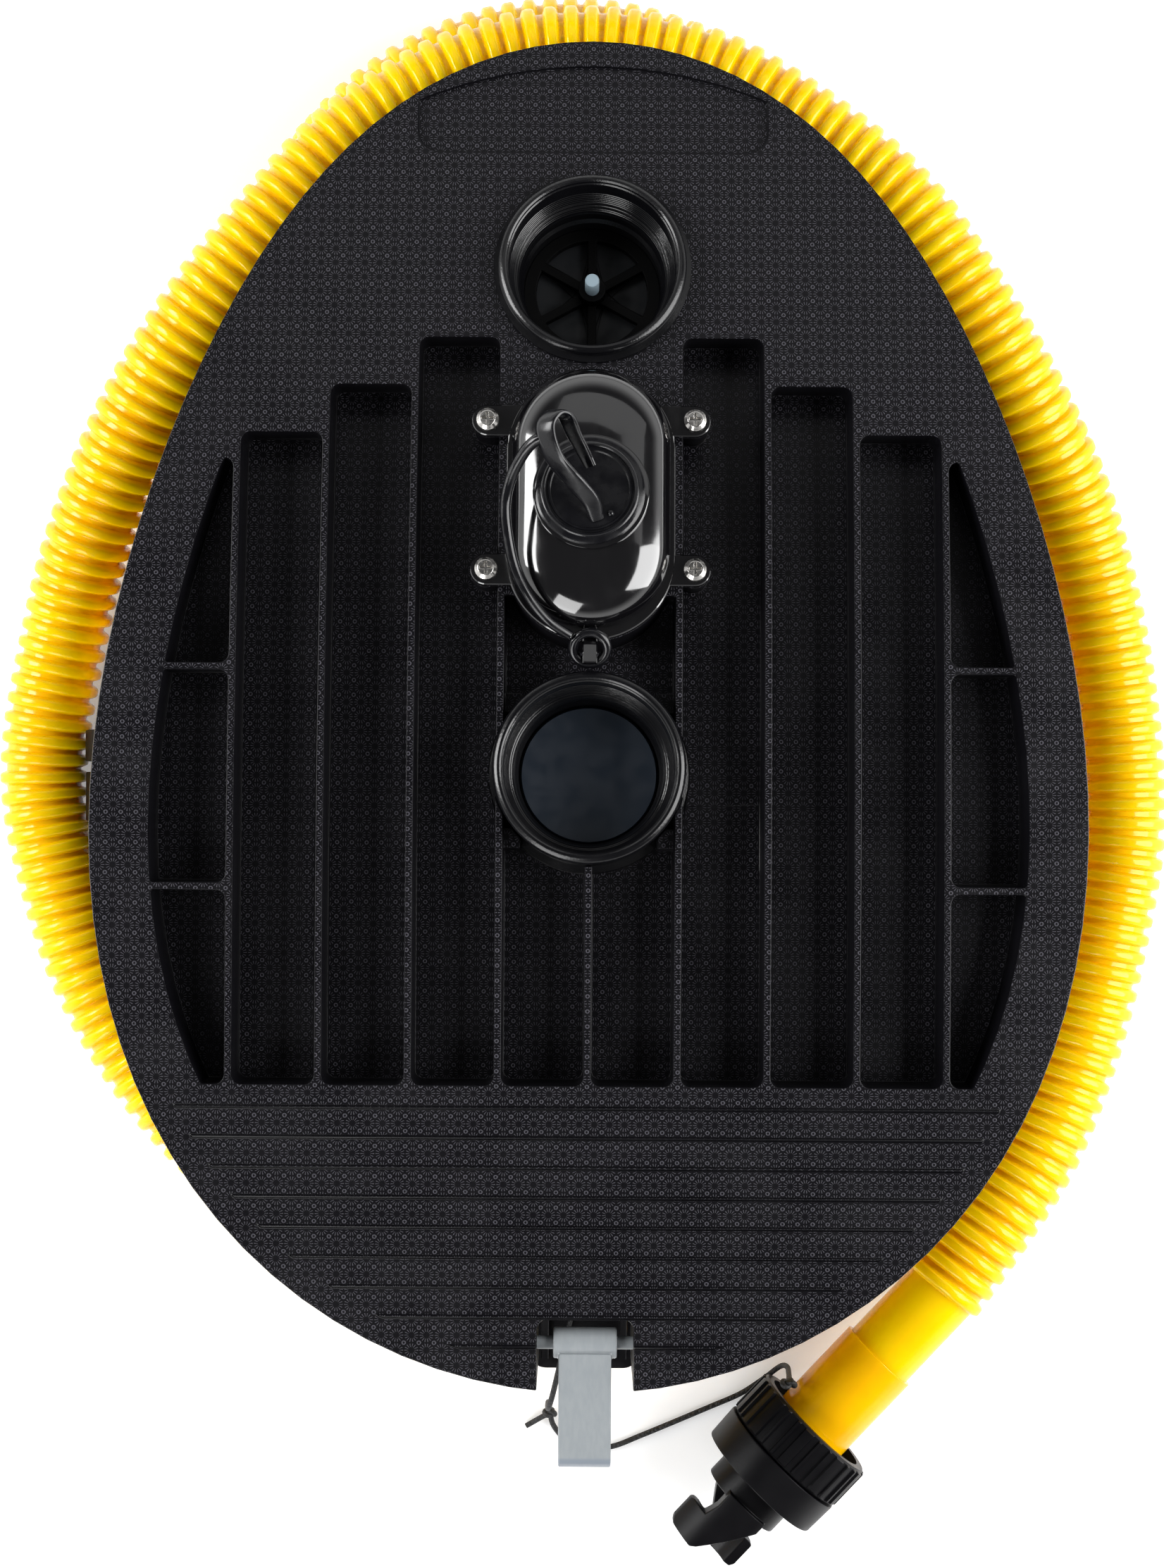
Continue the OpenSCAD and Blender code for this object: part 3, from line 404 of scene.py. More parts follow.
def gloss_material():
    """Polished black plastic with faint handling marks."""
    material = new_material("gloss_black", (0.0035, 0.0033, 0.004), 0.1, Specular_IOR_Level=0.8,
                            Coat_Weight=1.0, Coat_Roughness=0.05)
    graph = Graph(material)
    smears = graph.noise(160, 5, (1, 0.35, 1))
    graph.roughness(graph.ramp(smears, 0.35, 0.75, 0.07, 0.2))
    graph.bump(graph.noise(500, 2), 0.004)
    return material


def rubber_material(name, colour, roughness):
    """Soft rubber, rubbed smoother in places."""
    material = new_material(name, colour, roughness)
    graph = Graph(material)
    graph.roughness(graph.ramp(graph.noise(220, 4), 0.3, 0.7, roughness - 0.08, roughness + 0.12))
    graph.bump(graph.noise(900, 3), 0.02)
    return material


def hose_material(name, colour, deep, soft):
    """Glossy soft plastic, in patches of a deeper colour; soft is the share of light that goes in."""
    material = new_material(name, colour, 0.16, Subsurface_Weight=soft, Subsurface_Scale=0.009,
                            Subsurface_Radius=(1.0, 0.75, 0.02), Specular_IOR_Level=0.35)
    graph = Graph(material)
    graph.colour(graph.mix(graph.ramp(graph.noise(45, 3), 0.35, 0.75), colour, deep))
    graph.roughness(graph.ramp(graph.noise(300, 3), 0.3, 0.7, 0.12, 0.22))
    graph.bump(graph.noise(420, 2), 0.03)
    return material


def metal_material(name, colour, roughness):
    """Turned or drawn metal with a fine grain."""
    material = new_material(name, colour, roughness, Metallic=1.0)
    graph = Graph(material)
    graph.roughness(graph.ramp(graph.noise(700, 3), 0.3, 0.7, roughness - 0.06, roughness + 0.1))
    graph.bump(graph.noise(1500, 2), 0.01)
    return material


def grey_material():
    """Light grey latch plastic with drawn marks along the arm, and a cooler, darker band painted across its
    thin end: painted shade of the hook seen through the plastic.
    """
    material = new_material("latch_grey", (0.27, 0.285, 0.295), 0.32)
    graph = Graph(material)
    marks = graph.noise(900, 2, (1, 0.3, 0.3))
    axes = graph.add("ShaderNodeSeparateXYZ")
    graph.put(graph.place, axes.inputs[0])
    along_arm = axes.outputs[1]
    # painted shade: a cooler, darker band across the thin end, where the hook beneath shows through
    painted_shade_band = graph.math("MULTIPLY", graph.ramp(along_arm, -0.1872, -0.1862, 1.0, 0.0),
                      graph.ramp(along_arm, -0.1905, -0.1885, 0.0, 1.0))
    plain = graph.mix(graph.ramp(marks, 0.3, 0.7), (0.25, 0.272, 0.286), (0.272, 0.292, 0.304))
    graph.colour(graph.mix(painted_shade_band, plain, (0.2, 0.228, 0.265)))
    graph.roughness(graph.ramp(marks, 0.3, 0.7, 0.28, 0.38))
    graph.bump(graph.noise(700, 2), 0.012)
    return material


def cloth_material():
    """Rubberised fabric of the bellows: a fine plain weave under a matt coat."""
    material = new_material("bellows_fabric", (0.012, 0.012, 0.013), 0.62)
    graph = Graph(material)
    threads = [graph.add("ShaderNodeTexWave", bands_direction=axis) for axis in ("X", "Y")]
    for wave in threads:
        wave.inputs["Scale"].default_value = 320
        wave.inputs["Distortion"].default_value = 1.5
        graph.put(graph.place, wave.inputs["Vector"])
    weave = graph.math("MAXIMUM", threads[0].outputs["Fac"], threads[1].outputs["Fac"])
    graph.roughness(graph.ramp(graph.noise(120), 0.3, 0.7, 0.55, 0.72))
    graph.bump(weave, 0.06)
    return material


def cord_material():
    """Braided black cord: crossing slanted strands, painted darker between them as painted shade of the
    grooves.
    """
    material = new_material("braided_cord", (0.012, 0.012, 0.013), 0.6)
    graph = Graph(material)
    strands = graph.add("ShaderNodeTexVoronoi")
    strands.inputs["Scale"].default_value = 1300
    graph.put(graph.place, strands.inputs["Vector"])
    # painted shade: the colour darkens from each strand's middle towards the grooves between strands
    graph.colour(graph.mix(graph.ramp(strands.outputs["Distance"], 0.1, 0.6),
                           (0.02, 0.02, 0.022), (0.006, 0.006, 0.006)))
    graph.bump(graph.math("SUBTRACT", 1.0, strands.outputs["Distance"]), 0.25)
    return material


BOARD = board_material()
SATIN = satin_material("satin_black", (0.003, 0.0028, 0.0036), 0.36, Specular_IOR_Level=0.16)
# painted shade: the valve seats are a darker copy of the satin black, for the shade deep in the ports
SHADED_SEAT = satin_material("seat_black_painted_shade", (0.0014, 0.0014, 0.0016), 0.5, Specular_IOR_Level=0.12)
PORT = satin_material("port_black", (0.003, 0.003, 0.0038), 0.2, 0.03, Specular_IOR_Level=0.5)
DULL = satin_material("dull_black", (0.012, 0.012, 0.0125), 0.5)
GLOSS = gloss_material()
RUBBER = rubber_material("rubber_black", (0.004, 0.004, 0.0052), 0.2)
FOOT = rubber_material("foot_rubber", (0.02, 0.02, 0.02), 0.6)
HOSE = hose_material("hose_yellow", (1.0, 0.64, 0.0), (1.0, 0.56, 0.0), 0.3)
CUFF = hose_material("cuff_yellow", (1.0, 0.5, 0.0), (0.98, 0.43, 0.0), 0.2)
DISC = rubber_material("disc_blue", (0.013, 0.021, 0.034), 0.42)
# painted shade: a darker copy of the blue disc rubber, for the intake disc deep in its port
SHADED_DISC = rubber_material("disc_painted_shade", (0.003, 0.0045, 0.007), 0.6)
STEM = satin_material("stem_blue", (0.36, 0.47, 0.54), 0.45, 0.01)
STEEL = metal_material("screw_steel", (0.72, 0.7, 0.67), 0.2)
SPRING = metal_material("spring_steel", (0.45, 0.45, 0.46), 0.3)
GREY = grey_material()
CLOTH = cloth_material()
CORD = cord_material()


# --- Cords and hose ----------------------------------------------------------------------
def spline(route):
    """Smooth curve through the route's points, the same one as the part's."""
    steps = 8
    points = [Vector(p) for p in route]
    last = len(points) - 1
    curve = []
    for i in range(last):
        p0, p1, p2, p3 = (points[min(max(k, 0), last)] for k in range(i - 1, i + 3))
        for k in range(steps):
            t = k / steps
            curve.append(0.5 * (2 * p1 + (p2 - p0) * t + (2 * p0 - 5 * p1 + 4 * p2 - p3) * t * t
                                + (3 * p1 - p0 - 3 * p2 + p3) * t ** 3))
    return curve + [points[last]]


def measured(curve):
    """Lengths along a curve, from its start to each of its points."""
    sums = [0.0]
    for a, b in zip(curve, curve[1:]):
        sums.append(sums[-1] + (b - a).length)
    return sums


def along(curve, sums, s):
    """Point of the curve at the length s."""
    low, high = 0, len(sums) - 1
    while high - low > 1:
        middle = (low + high) // 2
        low, high = (middle, high) if sums[middle] <= s else (low, middle)
    t = (s - sums[low]) / (sums[high] - sums[low])
    return curve[low].lerp(curve[high], t)


def swept(curve, stops, sides):
    """Rings of points round the curve; stops are (length along it, radius)."""
    sums = measured(curve)
    end = sums[-1]
    rings = []
    for s, r in stops:
        back, ahead = max(s - 0.5, 0), min(s + 0.5, end)
        axis = (along(curve, sums, ahead) - along(curve, sums, back)).normalized()
        side = axis.cross(UP).normalized()
        rise = side.cross(axis)
        centre = along(curve, sums, min(max(s, 0), end))
        rings.append([centre + r * (math.cos(a) * side + math.sin(a) * rise) for a in round_angles(sides)])
    return rings


def tube(curve, r, sides, steps, end_r=None):
    """Points and faces of a round cord along the curve, of radius r, or from r to end_r."""
    end = measured(curve)[-1]
    change = 0 if end_r is None else end_r - r
    return loft(swept(curve, [(end * k / steps, r + change * k / steps) for k in range(steps + 1)], sides))


HOSE_ROUTE = [
    (84.7, -175.1, 20), (93.2, -166.1, 20), (101.7, -157, 20), (117.3, -136, 18.6), (131, -115, 16),
    (142, -88, 13.5), (149.5, -59, FLOOR_HOSE_Z), (155, -24, FLOOR_HOSE_Z), (153, 10, 13),
    (147, 42, 15), (137, 72, 20.5), (122, 99, 29.5), (105, 125, 35.3), (86, 150, 38.1),
    (62, 170, 38.3), (32, 187, 38.3), (-2, 193, 38.3), (-34, 187.5, 38.3), (-66, 169, 38.3),
    (-91, 142, 38.2), (-111, 117, 36), (-128, 91, 30), (-142, 62, 22), (-151, 34, 15.5),
    (-158, -8, FLOOR_HOSE_Z), (-152, -42, FLOOR_HOSE_Z), (-140, -74, FLOOR_HOSE_Z),
    (-119, -105, FLOOR_HOSE_Z), (-92, -129.5, FLOOR_HOSE_Z), (-60, -148, FLOOR_HOSE_Z),
    (-30, -158, FLOOR_HOSE_Z), (0, -161, FLOOR_HOSE_Z), (30, -157.5, FLOOR_HOSE_Z),
    (60, -146, FLOOR_HOSE_Z), (88, -126, FLOOR_HOSE_Z), (108, -98, FLOOR_HOSE_Z),
    (119, -65, FLOOR_HOSE_Z), (123.5, -22, FLOOR_HOSE_Z), (121, 20, FLOOR_HOSE_Z),
    (112, 62, FLOOR_HOSE_Z), (98, 102, FLOOR_HOSE_Z), (80, 144, FLOOR_HOSE_Z),
    (56, 177.5, FLOOR_HOSE_Z), (26, 197.5, FLOOR_HOSE_Z), (-7, 204, FLOOR_HOSE_Z),
    (-40, 197.5, FLOOR_HOSE_Z), (-68, 179, FLOOR_HOSE_Z), (-86, 152, FLOOR_HOSE_Z),
    (-97, 120, FLOOR_HOSE_Z), (-106.5, 90, FLOOR_HOSE_Z), (-116.5, 62, 13.5), (-121.8, 45, 16),
    (-125, 31, 18.3), (-126, 18, 18.6), (-126, 5, 18.6)]

LANYARD_ROUTE = [
    (-3, -157.6, 31.4), (-4.5, -165, 31), (-7, -176, 31), (-9, -184.5, 31), (-10.1, -188.8, 27.5),
    (-10.4, -190.6, 19), (-10.4, -192, 9.5), (-10, -196, 2.8), (-9, -201, 1.2), (-5, -205.5, 1),
    (1, -207.6, 1), (8.5, -207.3, 1), (17, -204, 1), (27, -199.8, 1), (37, -195.5, 1),
    (46, -191.5, 1.2), (52.5, -187, 2.2), (57.5, -182.2, 5.5), (59, -180.6, 12),
    (58.8, -180.6, 20), (58.2, -180.9, 27.5)]

TETHER_ROUTE = [
    (-12.4, 74.6, 108), (-14.6, 73.6, 107), (-17.1, 71.1, 104.5), (-20.1, 65.9, 101), (-21.7, 59.1, 98.5),
    (-21.1, 51.3, 97), (-19.3, 43.4, 96), (-15.9, 36.4, 95), (-11.1, 30.5, 93), (-5.2, 26.6, 90.3)]

# The finger loop's strap: (place, half width, half thickness, direction of its width)
STRAP = [
    ((1.4, 56.0, 97.6), 1.9, 1.5, (0.7, 0.6, 0.3)), ((0.0, 59.9, 101), 2.3, 1.3, (0.72, 0.5, 0.35)),
    ((-2.9, 62.9, 104), 2.6, 1.1, (0.75, 0.3, 0.5)), ((-6.3, 66.1, 106.5), 2.9, 0.9, (0.8, 0.1, 0.6)),
    ((-9.3, 69.8, 108.5), 3.0, 0.8, (0.8, -0.1, 0.6)), ((-11.2, 74.5, 110), 3.0, 0.8, (0.8, -0.1, 0.6)),
    ((-11.2, 78.2, 110.5), 3.0, 0.8, (0.75, -0.1, 0.65)), ((-8.8, 80.8, 109.5), 2.9, 0.7, (0.7, -0.1, 0.7)),
    ((-6.3, 79.8, 107.5), 2.6, 0.7, (0.8, -0.1, 0.55)), ((-4.4, 76.0, 105), 2.3, 0.6, (0.85, -0.1, 0.5)),
    ((-2.1, 72.0, 103), 2.0, 0.6, (0.88, -0.1, 0.45)), ((-0.2, 68.5, 101.5), 1.7, 0.6, (0.9, -0.1, 0.4))]


def hose_stops(end):
    """Lengths and radii of the hose's rings: plain ends, and ribs with rounded shoulders between."""
    rib = [(0.0, HOSE_CORE_R), (0.12, 10.6), (0.2, 11.6), (0.26, 12.2), (0.36, HOSE_R), (0.64, HOSE_R),
           (0.74, 12.2), (0.8, 11.6), (0.88, 10.6)]
    plain = 2 * HOSE_R
    count = round((end - 2 * plain) / RIB_PITCH)
    pitch = (end - 2 * plain) / count
    stops = [(0.0, HOSE_BORE_R), (0.0, HOSE_CORE_R)]
    stops += [(plain + pitch * (k + t), r) for k in range(count) for t, r in rib]
    return stops + [(end - plain, HOSE_CORE_R), (end, HOSE_CORE_R), (end, HOSE_BORE_R)]


def make_hose():
    """Ribbed hose; gives the piece, its middle line and the length of that."""
    curve = spline(HOSE_ROUTE)
    end = measured(curve)[-1]
    points, faces = loft(swept(curve, hose_stops(end), 28))
    hose = add_piece("ribbed_hose", points, faces, HOSE, 40)
    stand_for(hose, "hose")
    return hose, curve, end


def make_lanyard():
    """Braided cord; gives the piece, its middle line and the length of that."""
    curve = spline(LANYARD_ROUTE)
    end = measured(curve)[-1]
    step = 1.2
    points, faces = tube(curve, LANYARD_R, 12, round(end / step))
    lanyard = add_piece("braided_lanyard", points, faces, CORD)
    stand_for(lanyard, "lanyard")
    return lanyard, curve, end


make_camera()
hose, hose_curve, hose_end = make_hose()
lanyard, lanyard_curve, lanyard_end = make_lanyard()


# --- Lights and floor --------------------------------------------------------------------
def softbox(name, azimuth, elevation, away, size, radiance):
    """Rectangular lamp that faces the pump. The azimuth, from +X towards +Y, and the elevation are in
    degrees; away and size (width, height) are in metres."""
    turn, rise = math.radians(azimuth), math.radians(elevation)
    towards = Vector((math.cos(rise) * math.cos(turn), math.cos(rise) * math.sin(turn), math.sin(rise)))
    pump = Vector((0, 0, 0.07))
    lamp = bpy.data.objects.new(name, bpy.data.lights.new(name, "AREA"))
    lamp.data.shape = "RECTANGLE"
    lamp.data.size, lamp.data.size_y = size
    lamp.data.energy = radiance * math.pi * size[0] * size[1]
    lamp.location = pump + away * towards
    lamp.rotation_euler = (-towards).to_track_quat("-Z", "Y").to_euler()
    bpy.context.scene.collection.objects.link(lamp)


def make_world():
    """Dim studio with a bright band at the horizon."""
    world = bpy.data.worlds.new("studio")
    world.use_nodes = True
    tree = world.node_tree
    direction = tree.nodes.new("ShaderNodeTexCoord")
    axes = tree.nodes.new("ShaderNodeSeparateXYZ")
    painted_shade_band = tree.nodes.new("ShaderNodeMapRange")
    painted_shade_band.interpolation_type = "SMOOTHSTEP"
    tree.links.new(direction.outputs["Generated"], axes.inputs[0])
    tree.links.new(axes.outputs["Z"], painted_shade_band.inputs["Value"])
    horizon, zenith = 1.0, 0.07
    for key, value in (("From Min", 0.12), ("From Max", 0.5), ("To Min", horizon), ("To Max", zenith)):
        painted_shade_band.inputs[key].default_value = value
    background = tree.nodes["Background"]
    background.inputs["Color"].default_value = (1, 1, 1, 1)
    tree.links.new(painted_shade_band.outputs[0], background.inputs["Strength"])
    bpy.context.scene.world = world


def make_floor():
    """White table. The camera, and gloss that mirrors it, see it with a little glow of its own."""
    half, glow = 3.0, 0.3
    mesh = bpy.data.meshes.new("floor")
    mesh.from_pydata([(-half, -half, 0), (half, -half, 0), (half, half, 0), (-half, half, 0)], [],
                     [(0, 1, 2, 3)])
    floor = bpy.data.objects.new("floor", mesh)
    bpy.context.scene.collection.objects.link(floor)
    material = new_material("table_white", (0.85, 0.85, 0.85), 0.8)
    graph = Graph(material)
    rays = graph.add("ShaderNodeLightPath").outputs
    seen = graph.math("MAXIMUM", graph.math("MAXIMUM", rays["Is Camera Ray"], rays["Is Glossy Ray"]),
                      rays["Is Transmission Ray"])
    graph.put(graph.math("MULTIPLY", seen, glow), graph.shader.inputs["Emission Strength"])
    graph.shader.inputs["Emission Color"].default_value = (1, 1, 1, 1)
    mesh.materials.append(material)


make_world()
make_floor()
softbox("right_box", -4, 31, 1.1, (0.85, 0.95), 7)
softbox("left_box", 168, 29, 1.1, (0.6, 0.55), 11)
softbox("front_box", -118, 30, 1.1, (0.5, 0.8), 5)
softbox("back_box", 75, 47, 1.3, (1.5, 0.6), 0.55)


# --- Ports and valves --------------------------------------------------------------------
def make_port(node, place, flange_z, depth):
    """Turned collar with a rounded rim, a small step, and a cone with fine turned steps above the bore."""
    wall, flange, mouth, throat = 24.0, 26.25, 22.6, 18.6
    cone_top, cone_end = (22.2, -1.5), (19.6, -8.8)
    lean = (cone_top[0] - cone_end[0]) / (cone_top[1] - cone_end[1])
    profile = [
        (throat, -depth), (wall, -depth), (wall, flange_z), (flange, flange_z), (flange, flange_z + 0.8),
        (wall + 0.4, flange_z + 1.3), (wall + 0.4, 1.4), (24.85, 2.0), (25.0, 2.7), (25.0, 3.3),
        (24.75, 3.9), (24.3, 4.35), (23.7, 4.6), (23.1, 4.55), (mouth + 0.1, 4.2), (mouth, 3.4),
        (mouth - 0.3, 3.1), cone_top]
    steps, deep_steps = 12, (7, 9)
    for k in range(1, steps):
        z = cone_top[1] + (cone_end[1] - cone_top[1]) * k / steps
        r = cone_end[0] + lean * (z - cone_end[1])
        deep = 0.3 if k in deep_steps else 0.1
        profile += [(r + deep, z + 0.2), (r - 0.06, z + 0.04)]
    profile += [cone_end, (PORT_BORE_R, -9.1), (PORT_BORE_R, -12.4), (throat, -13.4)]
    points, faces = turned(profile, 160, place)
    stand_for(add_piece(node + "_turned", points, faces, PORT, 25), node)


def make_intake_valve():
    """Pale stem with a rounded top over a mushroom disc painted darker than the outlet's disc rubber: painted
    shade of the deep inlet port.
    """
    stem = turned([(0, -22), (1.95, -22), (1.95, -8.35), (1.8, -8.1), (1.5, -8), (0, -8)], 40, AT_INLET)
    disc = turned([(0, -21.7), (15.5, -21.4), (16.6, -21.0), (16.4, -20.3), (0, -20)], 96, AT_INLET)
    points, faces = joined(stem, disc)
    piece = add_piece("intake_valve", points, faces, STEM, 40)
    # the disc's faces take the painted-shade copy of the disc rubber
    piece.data.materials.append(SHADED_DISC)
    for face in list(piece.data.polygons)[len(stem[1]):]:
        face.material_index = 1
    stand_for(piece, "inlet_valve")


def make_outlet_valve():
    """Slightly dished rubber disc with a rounded edge, on a thin stem."""
    low, steps = -17, 12
    dish = [(18.0 * k / steps, low + 0.9 + 0.75 * (k / steps) ** 2) for k in range(steps - 1, 0, -1)]
    disc = turned([(0, low), (17.7, low), (18.2, low + 0.5), (18.2, low + 1.1), (17.8, low + 1.6)] + dish
                  + [(0, low + 0.9)], 120, AT_OUTLET)
    stem = turned([(0, low - 5), (1.14, low - 5), (1.14, low + 0.3), (0, low + 0.3)], 24, AT_OUTLET)
    points, faces = joined(disc, stem)
    stand_for(add_piece("outlet_disc", points, faces, DISC, 40), "outlet_valve")


# --- Valve cover -------------------------------------------------------------------------
def slot_ring(r, z, span, dy=0.0):
    """Ring of a slot outline along Y: two half circles of radius r, span to either side of dy."""
    return [Vector((r * math.cos(a), dy + r * math.sin(a) + math.copysign(span, math.sin(a)), z))
            for a in round_angles(96, start=0.5)]


def shell_dome():
    """Dome with a soft shoulder, as a shell: up the outside, over the top, and the inside apart."""
    span, dy, foot_z = 13.5, 1.2, 1.2
    full, steps = 2.6, 16  # a full of 2 is an ellipse, and more has squarer shoulders
    angles = [math.radians(86 * k / steps) for k in range(steps + 1)]

    def rings(r, low, high):
        return [slot_ring(r * math.cos(a) ** (2 / full), low + (high - low) * math.sin(a) ** (2 / full),
                          span, dy) for a in angles]

    outside = [slot_ring(20.9, foot_z, span, dy)] + rings(20.8, 3.2, 15.0)
    inside = [slot_ring(17.8, foot_z, span, dy)] + rings(17.8, 2.0, 12.4)
    return loft(outside[::-1] + inside)


def screw_tab(side, y):
    """Tab with a round end for the screw at y; side is -1 or 1."""
    def outline(inset, z):
        r, root, steps = 4.1 - inset, 18, 14
        arc = [math.radians(-90 + 180 * k / steps) for k in range(steps + 1)]
        ring = [(root, y - r)] + [(SCREW_X + r * math.cos(a), y + r * math.sin(a)) for a in arc]
        ring = [Vector((side * px, py, z)) for px, py in ring + [(root, y + r)]]
        return ring if side > 0 else ring[::-1]

    return loft([outline(0, 1), outline(0, 2.75), outline(0.25, 3)])


def tongue_bar():
    """Bar at the front end whose raised tip holds the tether's ring."""
    side_view = [(-30, 1), (-36, 1), (-39, 2.4), (-42.4, 2.8), (-42.4, 5), (-38, 4.6), (-35, 3.2), (-30, 3.2)]
    middle = sum(z for _, z in side_view) / len(side_view)
    rings = []
    for x, inset in ((-1.9, 0.3), (-1.6, 0.0), (1.6, 0.0), (1.9, 0.3)):
        rings.append([Vector((x, y, z - math.copysign(inset, z - middle))) for y, z in side_view])
    return loft(rings)


def bored(piece, place, r, low, high):
    """Drills a round hole through the piece."""
    points, faces = turned([(0, low), (r, low), (r, high), (0, high)], 96, place)
    drill = add_piece("drill", points, faces, GLOSS)
    modifier = piece.modifiers.new("bore", "BOOLEAN")
    modifier.operation = "DIFFERENCE"
    modifier.solver = "EXACT"
    modifier.object = drill
    bpy.context.view_layer.update()
    seen = piece.evaluated_get(bpy.context.evaluated_depsgraph_get())
    mesh = bpy.data.meshes.new_from_object(seen)
    piece.modifiers.clear()
    piece.data = mesh
    bpy.data.objects.remove(drill)


def make_cover():
    """Glossy dome with the plug's hole, and round it the flange, the hole's boss, the tabs and the bar."""
    hole = PLUG_R + 0.1
    at_plug = Matrix.Translation((0, PLUG_DY, 0))
    flange = ring_solid([slot_ring(r, z, 14) for r, z in (
        (19, 1), (21.8, 1), (22, 1.2), (22, 2.8), (21.7, 3.1), (19, 3.1))])
    boss = turned([(hole, 9), (14.6, 9), (14.9, BOSS_TOP_Z - 0.4), (14.8, BOSS_TOP_Z - 0.15),
                   (14.5, BOSS_TOP_Z), (hole + 0.3, BOSS_TOP_Z), (hole, BOSS_TOP_Z - 0.3)], 120, at_plug)
    tabs = [screw_tab(side, y - COVER_Y) for side in (-1, 1) for y in SCREW_Y]
    dome_points, dome_faces = placed(shell_dome(), AT_COVER)
    dome = add_piece("cover_dome", dome_points, dome_faces, GLOSS)
    bored(dome, AT_COVER @ at_plug, hole, 6, 24)
    points, faces = placed(joined(flange, boss, *tabs, tongue_bar()), AT_COVER)
    fittings = add_piece("cover_flange", points, faces, GLOSS)
    for piece in (dome, fittings):
        piece.data.shade_smooth()
        piece.data.set_sharp_from_angle(angle=math.radians(38))
        stand_for(piece, "valve_cover")


# --- Plug, strap and tether --------------------------------------------------------------
def make_plug():
    """Bung with a ringed flange, and the strap that bends over into the finger loop."""
    body = turned([(0, -7), (8, -7), (PLUG_R, -5.5), (PLUG_R, 0), (13.7, 0), (14.1, 0.4), (14.0, 1.2),
                   (13.4, 1.6), (12.6, 1.7), (12.2, 1.9), (12.0, 2.3), (11.6, 2.4), (11.3, 2.1), (11.1, 1.7),
                   (10.8, 1.7), (10.6, 2.0), (10.2, 2.0), (9.9, 1.6), (0, 1.6)], 120,
                  AT_COVER @ Matrix.Translation((-0.3, PLUG_DY, BOSS_TOP_Z)))
    ball_r, steps = 0.9, 10
    arc = [math.radians(-90 + 180 * k / steps) for k in range(1, steps)]
    ball = turned([(0, -ball_r)] + [(ball_r * math.cos(a), ball_r * math.sin(a)) for a in arc]
                  + [(0, ball_r)], 20, Matrix.Translation((5.0, 57.1, 98)))
    points, faces = joined(body, ball, strap())
    stand_for(add_piece("plug_with_loop", points, faces, RUBBER, 38), "plug")


def strap():
    """Points and faces of the flat strap, whose width and thickness change along it."""
    flat = 0.7  # 1 is an ellipse across, and less has squarer sides
    curve = spline([place for place, _, _, _ in STRAP])
    sizes = spline([(wide, thick, 0) for _, wide, thick, _ in STRAP])
    across = spline([direction for _, _, _, direction in STRAP])
    rings = []
    for k, centre in enumerate(curve):
        axis = (curve[min(k + 1, len(curve) - 1)] - curve[max(k - 1, 0)]).normalized()
        side = (across[k] - across[k].dot(axis) * axis).normalized()
        rise = side.cross(axis)
        rings.append([])
        for a in round_angles(20):
            u, v = math.cos(a), math.sin(a)
            rings[-1].append(centre + sizes[k].x * math.copysign(abs(u) ** flat, u) * side
                             + sizes[k].y * math.copysign(abs(v) ** flat, v) * rise)
    return loft(rings)


def make_tether():
    """Moulded leash from the loop to the ring."""
    points, faces = tube(spline(TETHER_ROUTE), 1.5, 16, 90, end_r=1.25)
    piece = add_piece("tether_leash", points, faces, RUBBER)
    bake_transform(piece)
    stand_for(piece, "plug_tether", rides=False)


# --- Coupling ring -----------------------------------------------------------------------
def make_coupling_ring():
    """Ring on the cuff with grip ridges in narrow and wide turns."""
    n, cells = 360, 30
    widths = (0.3, 0.3, 0.72)  # of the ridges in turn, as shares of a cell
    ridge, groove, inner, cuff = 19.6, 18.9, 16.2, 11.9
    front, rear, floor = 26.5, 39.7, (29, 31.5)  # along the fitting, from the hose's end
    place = (Matrix.Translation(HOSE_ROUTE[0]) @ Matrix.Rotation(math.radians(FITTING_TURN), 4, "Z")
             @ Matrix.Rotation(math.radians(90), 4, "X"))

    def ring(z, r, grip=0.0):
        points = []
        for i, a in enumerate(round_angles(n)):
            cell, part = divmod(i * cells / n, 1)
            on = abs(part - 0.5) < widths[int(cell) % len(widths)] / 2
            here = r + (grip if on else 0.0)
            points.append(place @ Vector((here * math.cos(a), here * math.sin(a), z)))
        return points

    high = ridge - groove
    points, faces = ring_solid([
        ring(front, inner), ring(front, groove - 0.5), ring(front + 0.5, groove),
        ring(front + 0.8, groove, high), ring(rear - 0.8, groove, high), ring(rear - 0.5, groove),
        ring(rear, groove - 0.3), ring(rear, inner), ring(floor[1], inner), ring(floor[1], cuff),
        ring(floor[0], cuff), ring(floor[0], inner)])
    piece = add_piece("grip_ring", points, faces, SATIN, 30)
    stand_for(piece, "coupling_ring")
    return piece


# --- Bellows and spring ------------------------------------------------------------------
def egg_edge(a):
    """Point of the upper board's outline at the angle a."""
    s = math.sin(a)
    taper = 1 - 0.178 * s + 0.056 * s * s + 0.067 * s ** 3
    return Vector((BOARD_W / 2 * math.cos(a) * taper, BOARD_Y + BOARD_L / 2 * s, 0))


def egg_ring(inset, z):
    """Ring of the board's outline moved inwards by inset."""
    ring, near = [], 0.01
    for a in round_angles(120):
        along_edge = (egg_edge(a + near) - egg_edge(a - near)).normalized()
        p = egg_edge(a)
        ring.append(Vector((p.x - inset * along_edge.y, p.y + inset * along_edge.x, z)))
    return ring


def round_ring(inset, z):
    """Ring round the small bellows, inset from its outer folds."""
    r = INNER_R - inset
    return [Vector((r * math.cos(a), INNER_Y + r * math.sin(a), z)) for a in round_angles(96)]


